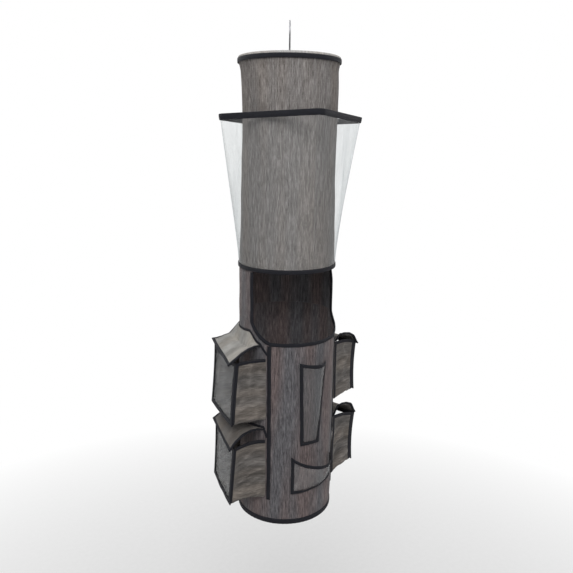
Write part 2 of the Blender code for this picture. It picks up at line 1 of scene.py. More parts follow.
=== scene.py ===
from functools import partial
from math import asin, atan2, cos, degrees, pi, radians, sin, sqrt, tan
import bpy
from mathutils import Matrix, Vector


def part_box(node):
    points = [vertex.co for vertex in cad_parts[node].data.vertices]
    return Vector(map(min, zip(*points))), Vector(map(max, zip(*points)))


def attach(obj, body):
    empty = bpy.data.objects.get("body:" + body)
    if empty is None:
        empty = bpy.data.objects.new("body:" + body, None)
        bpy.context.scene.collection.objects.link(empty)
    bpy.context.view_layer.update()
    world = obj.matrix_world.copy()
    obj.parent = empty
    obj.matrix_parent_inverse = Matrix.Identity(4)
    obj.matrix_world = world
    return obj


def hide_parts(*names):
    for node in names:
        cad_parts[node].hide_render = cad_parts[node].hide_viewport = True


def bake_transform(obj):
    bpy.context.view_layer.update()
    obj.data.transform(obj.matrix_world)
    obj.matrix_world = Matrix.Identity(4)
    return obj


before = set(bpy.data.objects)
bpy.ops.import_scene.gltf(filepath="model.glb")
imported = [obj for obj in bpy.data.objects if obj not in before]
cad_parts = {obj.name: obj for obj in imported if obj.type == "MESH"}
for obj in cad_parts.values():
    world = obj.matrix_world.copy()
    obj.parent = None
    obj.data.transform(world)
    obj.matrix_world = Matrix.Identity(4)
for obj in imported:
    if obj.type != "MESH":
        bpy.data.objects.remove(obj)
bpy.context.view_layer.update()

# The looks of a hanging, turning organizer for gift wrap: its cloth, clear vinyl,
# binding tapes and wire, with materials, light, floor and camera. Metres, +Z up,
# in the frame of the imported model. The front faces -Y. An azimuth is zero at the
# front and grows towards +X.

from types import SimpleNamespace as Spec

import bmesh
import bpy
from mathutils import Matrix, Vector, noise

CLOTH_UV = "cloth"
# Point attribute that carries painted shade in wrinkle valleys and painted highlight on crests
CREASE_SHADE = "crease"
DOWN = Vector((0, 0, -1))

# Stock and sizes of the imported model
FABRIC = 0.0012
VINYL = 0.0008
TAPE = 0.001
EDGE_WIDTH = 0.0125
TAPE_WIDTH = 0.010
GAP = 0.0003
WALL_GAP = 0.0005
TUBE_RADIUS = 0.115
HOOK_DROP = 0.0725
DOME_RISE = 0.004
BODY_HEIGHT = 1.1035
WIRE_RADIUS = 0.002
BORE_CLEARANCE = 0.0005
EYELET_WALL = 0.0015
HOOK_INNER_RADIUS = 0.019
HOOK_PLANE_AZIMUTH = -32
HOOK_LEAN = 32
HOOK_TIP_ANGLE = 196
STEM_BEND_RADIUS = 0.012
SKIRT_TOP_DROP = 0.134
SKIRT_HEIGHT = 0.3415
SKIRT_CLEARANCE = 0.0109
SKIRT_CORNER_RADIUS = 0.018
SKIRT_YAW = -13
SKIRT_SHIFT = 0.009
SKIRT_SHIFT_AZIMUTH = 58
SKIRT_TILT_RISE = 0.0095
SKIRT_WIRE_RADIUS = 0.0014
SKIRT_BINDING_WIDTH = 0.012
WEB_FOOT_WIDTH = 0.006
WINDOW_BOTTOM_SHARE = 0.5804
WINDOW_FLAT_AZIMUTH = 50
WINDOW_SIDE_AZIMUTH = 75
WINDOW_CORNER_HEIGHT = 0.045
POCKET_AZIMUTH = 100
POCKET_ROOT_HALF = 0.081
POCKET_FACE_HALF = 0.0805
POCKET_FACE_REACH = 0.160
POCKET_MOUTH_DROP = 0.044
POCKET_ROW_SPACE = 0.054
POCKET_FOOT_RISE = 0.065
LID_FOLD_REACH = 0.1215
LID_LENGTH = 0.0555
LID_ROOT_HALF = 0.086
LID_TIP_HALF = 0.088
LID_SLOPE = 27.5
YOKE_WALL_HALF = 0.071
SEAM_FOOT_RISE = 0.061
SCISSORS_TOP_SHARE = 0.8845
TAPE_POCKET_TOP_SHARE = 0.3715
FOOT_LIFT_SHARE = 0.12

TOP_Z = -HOOK_DROP - DOME_RISE
SLEEVE_TOP_Z = TOP_Z - FABRIC - GAP
BASE_Z = TOP_Z - BODY_HEIGHT
SLEEVE_BOTTOM_Z = BASE_Z + FABRIC + GAP
SKIRT_TOP_Z = -HOOK_DROP - SKIRT_TOP_DROP
SKIRT_BOTTOM_Z = SKIRT_TOP_Z - SKIRT_HEIGHT
WINDOW_BOTTOM_Z = TOP_Z - BODY_HEIGHT * WINDOW_BOTTOM_SHARE
WINDOW_SHOULDER_Z = WINDOW_BOTTOM_Z + WINDOW_CORNER_HEIGHT
WINDOW_TOP_Z = SKIRT_BOTTOM_Z
FLARE_FOOT_Z = SKIRT_BOTTOM_Z + EDGE_WIDTH / 2
LOWER_HEIGHT = WINDOW_BOTTOM_Z - BASE_Z
POCKET_HEIGHT = (LOWER_HEIGHT - POCKET_MOUTH_DROP - POCKET_ROW_SPACE - POCKET_FOOT_RISE) / 2
UPPER_MOUTH_Z = WINDOW_BOTTOM_Z - POCKET_MOUTH_DROP
LOWER_MOUTH_Z = UPPER_MOUTH_Z - POCKET_HEIGHT - POCKET_ROW_SPACE
SKIRT_HALF_SIDE = TUBE_RADIUS + SKIRT_CLEARANCE
SKIRT_HALF_DIAGONAL = SKIRT_HALF_SIDE * sqrt(2)
CLOTH_HALF_GAP = FABRIC / 2 + GAP
FILM_HALF_GAP = VINYL / 2 + GAP
FOLD_HEIGHT = (
    GAP + TAPE + GAP + (FABRIC + GAP + TAPE) / cos(radians(LID_SLOPE))
    + tan(radians(LID_SLOPE)) * (POCKET_FACE_REACH + VINYL / 2 + GAP + TAPE - LID_FOLD_REACH)
)

# How the tube's cloth hangs: each fold has a width and a length
HOLD_REACH = 0.060
FOLD_DEPTH = 0.0030
FOLD = (0.034, 0.190)
CREASE_DEPTH = 0.0012
CREASE_FOLD = (0.012, 0.055)
# Gain of the painted shade and highlight that the wrinkles put into the cloth's colour
CREASE_SHADE_GAIN = 1.3
NECK_AZIMUTH = -118
NECK_LOBE_POWER = 1.5
NECK_DEPTH = 0.0045
NECK_ALL_ROUND = 0.0035
NECK_RIM_REACH = 0.022
NECK_HEM_REACH = 0.10
BULGE_AZIMUTH = 72
BULGE_LOBE_POWER = 4
BULGES = ((-0.555, 0.0), (-0.60, 0.006), (-0.83, 0.008), (-0.95, 0.009), (-1.08, 0.005),
          (-1.19, 0.001))
BASE_SWELL = 0.0035
BASE_SWELL_REACH = 0.12
PUCKER_DEPTH = 0.0005
PUCKERS_AROUND = 76
PUCKER_REACH = 0.030
CELL = 0.0055
RING_STEPS = 144
COVER_STEPS = 120
SHARP_CLOTH = 50
SHARP_TAPE = 60

# Tapes and stitches
STITCH_PITCH = 0.0038
STITCH_HALF_LENGTH = 0.0014
STITCH_HALF_WIDTH = 0.0003
STITCH_RISE = 0.00025
STITCH_INSET = 0.0016
TAPE_CROWN = 0.0003
TAPE_EDGE = 0.0004
TAPE_FOLD_SHARE = 0.7
TAPE_WIDTH_WANDER = 0.0005
WANDERS = 3
SURFACE_STEP = 0.004

# The four box pockets. Each has the plain pocket's values, apart from its own. A
# pair gives the side at falling azimuth first. The heights are those of the lid's
# cloth over its flat slope, from the wall to the tip: on its first edge, in its
# middle and on its last edge. The slant turns the tip, the wall halves are its two
# reaches along the tube, and the wall rise lifts its seam there.
# The sags lower the face's mouth corners, the rises lift its mouth and foot, the
# leans push its mouth out and the kicks its foot. The root rises lift the gusset's
# mouth and foot on the tube, and the hump lifts its mouth between tube and face.
PLAIN_POCKET = {
    "slant": 0.0, "wall_halves": (YOKE_WALL_HALF, YOKE_WALL_HALF), "wall_rise": 0.0,
    "leans": (0.0, 0.0), "return_width": 0.013, "root_width": 0.007, "cloth": "gusset",
}


def pocket(name, sign, mouth, **own):
    return Spec(name=name, azimuth=sign * POCKET_AZIMUTH, mouth=mouth, **{**PLAIN_POCKET, **own})


POCKETS = (
    pocket("left_upper", -1, UPPER_MOUTH_Z, seed=3,
           heights=((-0.010, -0.006, -0.002, 0.002, 0.007, 0.012),
                    (0.0, 0.006, 0.011, 0.012, 0.010, 0.008),
                    (-0.0035, 0.0055, 0.0115, 0.0125, 0.0095, 0.0055)),
           slant=0.006, wall_rise=0.031, sags=(0.001, 0.002), rises=(0.004, 0.0),
           leans=(0.0, -0.006), kicks=(0.010, 0.006), root_rises=(0.004, 0.0), hump=0.002,
           bow=0.004, return_width=0.0052, root_width=0.0, cloth="lid"),
    # Its lid takes the plain pocket's darker gusset cloth, a painted shade under the upper pocket
    pocket("left_lower", -1, LOWER_MOUTH_Z, seed=11,
           heights=((-0.010, -0.004, 0.002, 0.004, 0.002, -0.001),
                    (0.0, 0.006, 0.011, 0.012, 0.008, -0.003),
                    (-0.013, -0.001, 0.0075, 0.012, 0.008, -0.003)),
           slant=0.005, wall_halves=(YOKE_WALL_HALF, 0.080), sags=(0.003, 0.009),
           rises=(0.002, 0.0), kicks=(0.006, 0.012), root_rises=(0.002, 0.0), hump=0.006,
           bow=0.006, return_width=0.0036, root_width=0.0),
    pocket("right_upper", 1, UPPER_MOUTH_Z, seed=23,
           heights=((-0.027, 0.001, 0.0105, 0.0145, 0.0135, -0.0015),
                    (-0.014, -0.009, -0.004, 0.0, 0.003, -0.001),
                    (-0.012, -0.004, 0.004, 0.008, 0.008, -0.002)),
           sags=(0.002, 0.001), rises=(0.004, 0.023), leans=(0.010, 0.005),
           kicks=(0.008, 0.004), root_rises=(0.014, 0.013), hump=0.006, bow=0.003),
    pocket("right_lower", 1, LOWER_MOUTH_Z, seed=37,
           heights=((-0.024, 0.011, 0.022, 0.0285, 0.0305, 0.012),
                    (-0.014, -0.008, 0.002, 0.009, 0.012, 0.004),
                    (-0.012, -0.002, 0.008, 0.012, 0.012, 0.0)),
           sags=(0.003, 0.002), rises=(0.008, 0.0245), leans=(0.015, 0.007),
           kicks=(0.010, 0.005), root_rises=(0.020, 0.007), hump=0.004, bow=0.005),
)


def on_ring(azimuth, radius, z):
    angle = radians(azimuth)
    return Vector((radius * sin(angle), -radius * cos(angle), z))


def spread(first, last, steps):
    return [first + (last - first) * i / steps for i in range(steps + 1)]


def around(steps):
    return spread(0, 360, steps)[:-1]


def blend_of(first, last, share):
    return first + (last - first) * share


def clamp(value, low=0.0, high=1.0):
    return min(max(value, low), high)


def ease(share):
    share = clamp(share)
    return share * share * (3 - 2 * share)


def ease_soft(share):
    return 0.5 * share + 0.5 * ease(share)


# A hump from 0 at the ends of a share's run to 1 in its middle
def arc_of(share):
    return sin(pi * clamp(share))


def steps_over(length, cell=CELL):
    return max(2, round(length / cell))


def noise_at(x, y, z):
    return noise.noise(Vector((x, y, z)))


# Wrinkles of cloth that is spread over a plane of lengths u and v
def wrinkle(u, v, size, seed):
    width, length = size
    return noise_at(u / width, v / length, seed)


def crisp(value):
    return 1 - 2 * abs(value)


# Painted light of a wrinkled cloth: painted shade in its valleys and a painted highlight on its
# crests
def crease_shade_of(height):
    return clamp(CREASE_SHADE_GAIN * height, -1.0)


# Share by which the tube's cloth is free of the rings that hold it round
def looseness(z):
    rings = (SLEEVE_TOP_Z, FLARE_FOOT_Z, SLEEVE_BOTTOM_Z)
    return min(ease(abs(z - ring) / HOLD_REACH) for ring in rings)


# The upper tube draws in below its rim, and more on one side
def neck(azimuth, z):
    if z < SKIRT_BOTTOM_Z:
        return 0.0
    below_rim = ease((SLEEVE_TOP_Z - EDGE_WIDTH / 2 - z) / NECK_RIM_REACH)
    above_hem = ease((z - SKIRT_BOTTOM_Z) / NECK_HEM_REACH)
    falling = ease((SLEEVE_TOP_Z - z) / (SLEEVE_TOP_Z - SKIRT_TOP_Z))
    rising = ease((z - SKIRT_BOTTOM_Z) / (SKIRT_TOP_Z - SKIRT_BOTTOM_Z))
    lobe = max(0.0, cos(radians(azimuth - NECK_AZIMUTH))) ** NECK_LOBE_POWER
    return NECK_ALL_ROUND * below_rim * above_hem + NECK_DEPTH * lobe * min(falling, rising)


# The lower tube fills out on one side, and all round at its base
def bulge(azimuth, z):
    reach = 0.0
    for (high, first), (low, last) in zip(BULGES, BULGES[1:]):
        if low <= z <= high:
            reach = blend_of(first, last, ease((high - z) / (high - low)))
    lobe = max(0.0, cos(radians(azimuth - BULGE_AZIMUTH))) ** BULGE_LOBE_POWER
    return reach * lobe + BASE_SWELL * ease((BASE_Z + BASE_SWELL_REACH - z) / BASE_SWELL_REACH)


def fold_noise(point, z, size, seed=0):
    width, length = size
    return noise_at(point.x / width, point.y / width, z / length + seed)


def tube_swell(azimuth, z):
    rim = on_ring(azimuth, TUBE_RADIUS, 0)
    broad = fold_noise(rim, z, FOLD)
    fine = fold_noise(rim, z, CREASE_FOLD)
    folds = (FOLD_DEPTH * broad + CREASE_DEPTH * fine) * looseness(z)
    tight = min(abs(z - SLEEVE_TOP_Z), abs(z - SLEEVE_BOTTOM_Z))
    held = 1 - ease(tight / PUCKER_REACH)
    pucker = PUCKER_DEPTH * sin(radians(azimuth) * PUCKERS_AROUND) * held
    return folds - neck(azimuth, z) + bulge(azimuth, z) + min(pucker, 0.0)


def tube_point(azimuth, z, lift=0.0):
    return on_ring(azimuth, TUBE_RADIUS + tube_swell(azimuth, z) + lift, z)


def link(obj):
    bpy.context.scene.collection.objects.link(obj)
    return obj


def running_lengths(points):
    lengths = [0.0]
    for first, last in zip(points, points[1:]):
        lengths.append(lengths[-1] + (last - first).length)
    return lengths


# What comes before and after on a path, or the end itself
def neighbours(path, i):
    return path[max(i - 1, 0)], path[min(i + 1, len(path) - 1)]


# Materials

GREY_FILM = (0.975, 0.98, 0.98, 1.0)
EDGE_ON_FILM = (0.50, 0.53, 0.54, 1.0)
WEAVE_PITCH = 0.0009
RIB_PITCH = 0.0011


# Woven polyester: four tones in display colour, dark, middle, light and of its
# flecks, then two tints for its slow changes
def cloth(tones, cool, warm, broad_share=0.3, fleck_share=0.4, sheen=0.15):
    return Spec(tones=tones, cool=(*cool, 1.0), warm=(*warm, 1.0), broad_share=broad_share,
                fleck_share=fleck_share, sheen=sheen)


# Lit and shaded copies of one heather, and the lower one's cooler tint: the lower tone, on the
# lower tube, back panel and base, is darker partly as painted shade of the lower tube; the darker
# gusset tone on all lids but the upper-left one is painted shade; the upper-left lid's lighter
# tone is partly painted light on its upward face
CLOTHS = {
    "upper": cloth(((82, 77, 74), (117, 112, 109), (152, 147, 144), (176, 171, 167)),
                   (0.94, 0.96, 0.98), (1.0, 0.98, 0.96), 0.45, fleck_share=0.45, sheen=0.0),
    "lower": cloth(((64, 60, 61), (99, 93, 93), (134, 127, 126), (150, 143, 141)),
                   (0.82, 0.90, 0.97), (1.0, 0.89, 0.88), 0.50),
    "gusset": cloth(((78, 74, 71), (101, 96, 92), (123, 118, 114), (142, 136, 131)),
                    (0.94, 0.96, 0.98), (1.0, 0.97, 0.93)),
    "lid": cloth(((130, 127, 122), (153, 150, 145), (176, 173, 168), (192, 189, 184)),
                 (0.96, 0.98, 1.0), (1.0, 0.98, 0.95)),
    "cover": cloth(((140, 137, 134), (164, 161, 158), (188, 185, 182), (204, 201, 198)),
                   (0.96, 0.98, 1.0), (1.0, 0.98, 0.96)),
}


# A display colour, given from 0 to 255, as the linear colour that nodes take
def srgb(*values):
    shares = [value / 255 for value in values]
    linear = [share / 12.92 if share <= 0.04045 else ((share + 0.055) / 1.055) ** 2.4
              for share in shares]
    return (*linear, 1.0)


# The nodes of a material or of the world
class Shader:
    def __init__(self, owner):
        owner.use_nodes = True
        self.owner = owner
        self.tree = owner.node_tree

    def node(self, kind, inputs=None, **settings):
        made = self.tree.nodes.new(kind)
        for key, value in settings.items():
            setattr(made, key, value)
        for key, value in (inputs or {}).items():
            self.feed(made, key, value)
        return made

    def feed(self, node, key, value):
        socket = node.inputs[key]
        if isinstance(value, bpy.types.NodeSocket):
            self.tree.links.new(value, socket)
        else:
            socket.default_value = value

    def surface(self, inputs):
        for key, value in inputs.items():
            self.feed(self.tree.nodes["Principled BSDF"], key, value)
        return self.owner

    def place(self, source):
        return self.node("ShaderNodeTexCoord").outputs[source]

    # A noise whose grains are so wide and long, in metres
    def grain(self, vector, width, length, detail=2.0, depth=None):
        scale = (1 / width, 1 / length, 1 / (depth or width))
        mapping = self.node("ShaderNodeMapping", {"Vector": vector, "Scale": scale})
        made = self.node("ShaderNodeTexNoise", {
            "Vector": mapping.outputs["Vector"], "Scale": 1.0, "Detail": detail})
        return made.outputs["Fac"]

    # Colours that blend between their places of a value
    def ramp(self, value, stops):
        made = self.node("ShaderNodeValToRGB", {"Fac": value})
        elements = made.color_ramp.elements
        while len(elements) < len(stops):
            elements.new(0.5)
        for element, (position, colour) in zip(elements, stops):
            element.position = position
            element.color = colour
        return made.outputs["Color"]

    def math(self, operation, first, second=0.0):
        return self.node("ShaderNodeMath", {0: first, 1: second}, operation=operation).outputs[0]

    def mix(self, factor, first, second, kind="MIX"):
        made = self.node("ShaderNodeMix", {0: factor}, data_type="RGBA", blend_type=kind)
        self.feed(made, 6, first)
        self.feed(made, 7, second)
        return made.outputs[2]

    def mix_shaders(self, factor, first, second):
        return self.node("ShaderNodeMixShader", {0: factor, 1: first, 2: second}).outputs[0]

    def range(self, value, low, high, from_low=0.3, from_high=0.7):
        made = self.node("ShaderNodeMapRange", {
            "Value": value, "From Min": from_low, "From Max": from_high,
            "To Min": low, "To Max": high})
        return made.outputs[0]

    def bump(self, height, distance, strength=1.0):
        made = self.node("ShaderNodeBump", {
            "Height": height, "Distance": distance, "Strength": strength})
        return made.outputs["Normal"]

    def across(self, vector, axis, pitch):
        parts = self.node("ShaderNodeSeparateXYZ", {0: vector})
        return self.math("SINE", self.math("MULTIPLY", parts.outputs[axis], 2 * pi / pitch))

    # One for what the camera sees, straight, mirrored or through film
    def seen(self):
        path = self.node("ShaderNodeLightPath")
        plain = self.math("MAXIMUM", path.outputs["Is Camera Ray"], path.outputs["Is Glossy Ray"])
        return self.math("MAXIMUM", plain, path.outputs["Is Transmission Ray"])


def new_shader(name):
    return Shader(bpy.data.materials.new(name))


# Heathered cloth, whose slubs run down the UV map. The crease attribute darkens and lightens its
# colour: painted shade in wrinkle valleys and painted highlight on crests.
def heather_fabric(name, look):
    shader = new_shader(name)
    dark, middle, light, fleck = (srgb(*tone) for tone in look.tones)
    vector = shader.place("UV")
    slub = shader.grain(vector, width=0.0014, length=0.017, detail=3.0)
    thread = shader.grain(vector, width=0.0007, length=0.005, detail=1.0)
    broad = shader.grain(vector, width=0.0036, length=0.048, detail=3.0)
    wash = shader.grain(vector, width=0.042, length=0.500, detail=0.0)
    streak = shader.math("ADD", shader.math("MULTIPLY", slub, 1 - look.broad_share),
                         shader.math("MULTIPLY", broad, look.broad_share))
    colour = shader.ramp(streak, [(0.36, dark), (0.50, middle), (0.64, light)])
    flecks = shader.range(thread, 0.0, look.fleck_share, 0.56, 0.74)
    colour = shader.mix(flecks, colour, fleck)
    tint = shader.ramp(wash, [(0.38, look.cool), (0.62, look.warm)])
    colour = shader.mix(1.0, colour, tint, "MULTIPLY")
    # Painted shade and highlight: the crease attribute darkens the colour in wrinkle valleys and
    # lightens it on crests
    crease = shader.node("ShaderNodeAttribute", attribute_name=CREASE_SHADE)
    fold_wear_and_crease_shade = shader.range(crease.outputs["Fac"], 0.55, 1.45, -1.0, 1.0)
    weave = shader.math("MULTIPLY", shader.across(vector, "X", WEAVE_PITCH),
                        shader.across(vector, "Y", WEAVE_PITCH))
    height = shader.math("ADD", shader.math("MULTIPLY", weave, 0.35),
                         shader.math("MULTIPLY", slub, 1.4))
    return shader.surface({
        "Base Color": shader.mix(1.0, colour, fold_wear_and_crease_shade, "MULTIPLY"),
        "Roughness": shader.range(slub, 0.80, 0.95), "Specular IOR Level": 0.25,
        "Sheen Weight": look.sheen, "Sheen Roughness": 0.45,
        "Normal": shader.bump(height, distance=0.00035, strength=0.7)})


def black_tape():
    shader = new_shader("black_tape")
    vector = shader.place("UV")
    lint = shader.grain(vector, width=0.0025, length=0.0012, detail=3.0)
    wear = shader.range(shader.grain(vector, width=0.030, length=0.006), 0.0, 0.30, 0.5, 0.75)
    colour = shader.ramp(lint, [(0.35, srgb(13, 13, 18)), (0.65, srgb(28, 29, 36))])
    height = shader.math("ADD", shader.across(vector, "X", RIB_PITCH), lint)
    return shader.surface({
        "Base Color": shader.mix(wear, colour, srgb(46, 47, 54)),
        "Roughness": shader.range(lint, 0.60, 0.85), "Specular IOR Level": 0.2,
        "Normal": shader.bump(height, distance=0.00018, strength=0.8)})


def seam_thread():
    shader = new_shader("seam_thread")
    ply = shader.grain(shader.place("Object"), width=0.0004, length=0.0004, detail=1.0)
    return shader.surface({
        "Base Color": shader.ramp(ply, [(0.3, srgb(34, 34, 40)), (0.7, srgb(58, 58, 65))]),
        "Roughness": 0.55, "Normal": shader.bump(ply, distance=0.0001, strength=0.6)})


# Clear vinyl film: see-through, with a milky haze, a glossy skin and soft crinkles
def clear_vinyl(name, haze, haze_low, haze_high, crinkle):
    shader = new_shader(name)
    vector = shader.place("UV")
    waves = shader.grain(vector, width=0.028, length=0.045)
    creases = shader.grain(vector, width=0.007, length=0.011, detail=3.0)
    folds = shader.math("ABSOLUTE", shader.math("SUBTRACT", creases, 0.5))
    height = shader.math("ADD", waves, shader.math("MULTIPLY", folds, crinkle))
    normal = shader.bump(height, distance=0.0022, strength=0.9)
    dust = shader.grain(vector, width=0.012, length=0.030, detail=4.0)
    ridge = shader.range(folds, 1.0, 0.0, 0.0, 0.012)
    fold_wear_and_crease_shade = shader.math("MULTIPLY", ridge, shader.range(waves, 0.0, 0.16 * crinkle, 0.45, 0.65))
    shader.surface({"Base Color": haze, "Roughness": 0.4, "Normal": normal})
    facing = shader.node("ShaderNodeLayerWeight", {"Blend": 0.5, "Normal": normal})
    facing = facing.outputs["Facing"]
    tones = [(0.0, GREY_FILM), (1.0, EDGE_ON_FILM)]
    through = shader.ramp(shader.math("POWER", facing, 2.5), tones)
    see = shader.node("ShaderNodeBsdfTransparent", {"Color": through})
    haze_share = shader.math("ADD", shader.range(dust, haze_low, haze_high, 0.35, 0.75), fold_wear_and_crease_shade)
    main = shader.tree.nodes["Principled BSDF"]
    milky = shader.mix_shaders(haze_share, see.outputs[0], main.outputs[0])
    gloss = shader.node("ShaderNodeBsdfGlossy", {
        "Color": (0.95, 0.96, 0.97, 1.0), "Roughness": 0.09, "Normal": normal})
    mirror = shader.range(shader.math("POWER", facing, 5.0), 0.035, 0.45, 0.0, 1.0)
    skin = shader.mix_shaders(mirror, milky, gloss.outputs[0])
    shader.feed(shader.tree.nodes["Material Output"], "Surface", skin)
    return shader.owner


def plated_steel():
    shader = new_shader("plated_steel")
    vector = shader.place("Object")
    rubbed = shader.grain(vector, width=0.0015, length=0.0015, detail=3.0, depth=0.012)
    patches = shader.grain(vector, width=0.010, length=0.010)
    tones = [(0.35, (0.24, 0.24, 0.25, 1.0)), (0.65, (0.36, 0.36, 0.38, 1.0))]
    return shader.surface({
        "Base Color": shader.ramp(patches, tones), "Metallic": 1.0,
        "Roughness": shader.range(rubbed, 0.22, 0.40),
        "Normal": shader.bump(rubbed, distance=0.00008, strength=0.5)})


def grey_board():
    shader = new_shader("grey_board")
    vector = shader.place("Object")
    fibres = shader.grain(vector, width=0.0014, length=0.004, detail=4.0)
    blotches = shader.range(shader.grain(vector, width=0.018, length=0.025), 0.0, 0.4)
    colour = shader.ramp(fibres, [(0.3, srgb(128, 122, 112)), (0.7, srgb(168, 161, 150))])
    return shader.surface({
        "Base Color": shader.mix(blotches, colour, srgb(120, 112, 100)), "Roughness": 0.9,
        "Normal": shader.bump(fibres, distance=0.0002, strength=0.6)})


# A floor that fades into the white background all round
def pale_floor():
    shader = new_shader("pale_floor")
    vector = shader.place("Object")
    speckle = shader.grain(vector, width=0.02, length=0.02, detail=4.0)
    tones = [(0.3, (0.80, 0.80, 0.80, 1.0)), (0.7, (0.84, 0.84, 0.84, 1.0))]
    shader.surface({"Base Color": shader.ramp(speckle, tones), "Roughness": 0.8})
    reach = shader.node("ShaderNodeVectorMath", {0: vector}, operation="LENGTH")
    far = shader.range(reach.outputs["Value"], 0.0, 1.0, 1.8, 3.2)
    glow = shader.node("ShaderNodeEmission", {"Color": (1, 1, 1, 1), "Strength": 1.0})
    main = shader.tree.nodes["Principled BSDF"]
    both = shader.mix_shaders(shader.math("MULTIPLY", far, shader.seen()), main.outputs[0],
                              glow.outputs[0])
    shader.feed(shader.tree.nodes["Material Output"], "Surface", both)
    return shader.owner


def make_materials():
    materials = {key: heather_fabric("heather_" + key, look) for key, look in CLOTHS.items()}
    materials.update({
        "tape": black_tape(),
        "thread": seam_thread(),
        "vinyl": clear_vinyl("clear_vinyl", (0.82, 0.84, 0.84, 1.0), 0.01, 0.05, 0.3),
        "crinkled": clear_vinyl("crinkled_vinyl", (0.74, 0.75, 0.75, 1.0), 0.03, 0.10, 1.6),
        "smoky": clear_vinyl("smoky_vinyl", (0.07, 0.07, 0.075, 1.0), 0.22, 0.36, 0.6),
        "steel": plated_steel(),
        "board": grey_board(),
        "floor": pale_floor(),
    })
    return materials


MATERIALS = make_materials()


# Sheets and tapes

# The UV map is in metres: u along the rows and v down the columns
def new_mesh(name, verts, faces, face_uvs, *looks):
    mesh = bpy.data.meshes.new(name)
    mesh.from_pydata(verts, [], faces)
    layer = mesh.uv_layers.new(name=CLOTH_UV)
    flat = [value for corners in face_uvs for corner in corners for value in corner]
    layer.data.foreach_set("uv", flat)
    for look in looks:
        mesh.materials.append(MATERIALS[look])
    return mesh


# The faces of a grid's cells, and their corners' places in the UV map
def grid_faces(cells, corner_index, us, vs):
    faces = []
    face_uvs = []
    for u, v in cells:
        corners = [(u, v), (u, v + 1), (u + 1, v + 1), (u + 1, v)]
        faces.append([corner_index(*corner) for corner in corners])
        face_uvs.append([(us[i], vs[j]) for i, j in corners])
    return faces, face_uvs


def make_thick(obj, thickness):
    solid = obj.modifiers.new("thickness", "SOLIDIFY")
    solid.thickness = thickness
    solid.offset = -1
    graph = bpy.context.evaluated_depsgraph_get()
    thick = bpy.data.meshes.new_from_object(
        obj.evaluated_get(graph), preserve_all_data_layers=True, depsgraph=graph)
    obj.modifiers.clear()
    obj.data = thick
    thick.shade_smooth()
    thick.set_sharp_from_angle(angle=radians(SHARP_CLOTH))


# A sheet from rows of points, which run downwards, with points towards growing
# azimuth, so that it faces away from the tube
def sheet(name, rows, look, thickness=0.0, closed=False, planar=False, capped=False,
          creases=None):
    count = len(rows[0])
    middle = rows[len(rows) // 2]
    across = running_lengths(middle + middle[:1] if closed else middle)
    down = running_lengths([row[count // 2] for row in rows])
    verts = [point for row in rows for point in row]
    cells = [(i, r) for r in range(len(rows) - 1) for i in range(len(across) - 1)]
    faces, face_uvs = grid_faces(cells, lambda i, r: r * count + i % count, across, down)
    if capped:
        faces.append([(len(rows) - 1) * count + i for i in range(count)])
        face_uvs.append([])
    if planar or capped:
        start = 0 if planar else len(faces) - 1
        face_uvs[start:] = [[verts[corner].xy for corner in corners] for corners in faces[start:]]
    mesh = new_mesh(name, verts, faces, face_uvs, look)
    mesh.shade_smooth()
    # The creases are painted shade and highlight, kept as a point attribute for the cloth's
    # colour
    if creases:
        crease_shades = mesh.attributes.new(CREASE_SHADE, "FLOAT", "POINT")
        crease_shades.data.foreach_set("value", creases)
    obj = link(bpy.data.objects.new(name, mesh))
    if thickness:
        make_thick(obj, thickness)
    return obj


# A piece's body, its slot, which is not used, and the nodes that it replaces
def hang(obj, slot, *nodes, body="hanger"):
    if body:
        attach(obj, body)
    if nodes:
        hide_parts(*nodes)
    return obj


def hang_cloth(name, node, rows, look, **options):
    return hang(sheet(name, rows, look, FABRIC, **options), "heather_fabric", node)


def hang_film(name, node, rows, look, **options):
    return hang(sheet(name, rows, look, **options), "clear_vinyl", node)


# Round the section of a tape that is folded over an edge: depth into the sheet
# and lift out of it
def folded_section(half_gap, width):
    outer = half_gap + TAPE
    half = [
        (width, half_gap),
        (width, outer - TAPE_EDGE),
        (width - TAPE_EDGE, outer),
        (width / 2, outer + TAPE_CROWN),
        (TAPE_EDGE, outer),
        (-GAP - TAPE * TAPE_FOLD_SHARE, outer * TAPE_FOLD_SHARE),
        (-GAP - TAPE, 0.0),
    ]
    other = [(depth, -lift) for depth, lift in reversed(half[:-1])]
    return half + other + [(-GAP, -half_gap), (-GAP, half_gap)]


def flat_section(width):
    half = width / 2
    return [
        (half, 0.0),
        (half, TAPE - TAPE_EDGE),
        (half - TAPE_EDGE, TAPE),
        (0.0, TAPE + TAPE_CROWN),
        (TAPE_EDGE - half, TAPE),
        (-half, TAPE - TAPE_EDGE),
        (-half, 0.0),
    ]


def folded_seams(half_gap, width):
    lift = half_gap + TAPE
    return [(width - STITCH_INSET, lift), (width - STITCH_INSET, -lift)]


def flat_seams(width):
    edge = width / 2 - STITCH_INSET
    return [(edge, TAPE), (-edge, TAPE)]


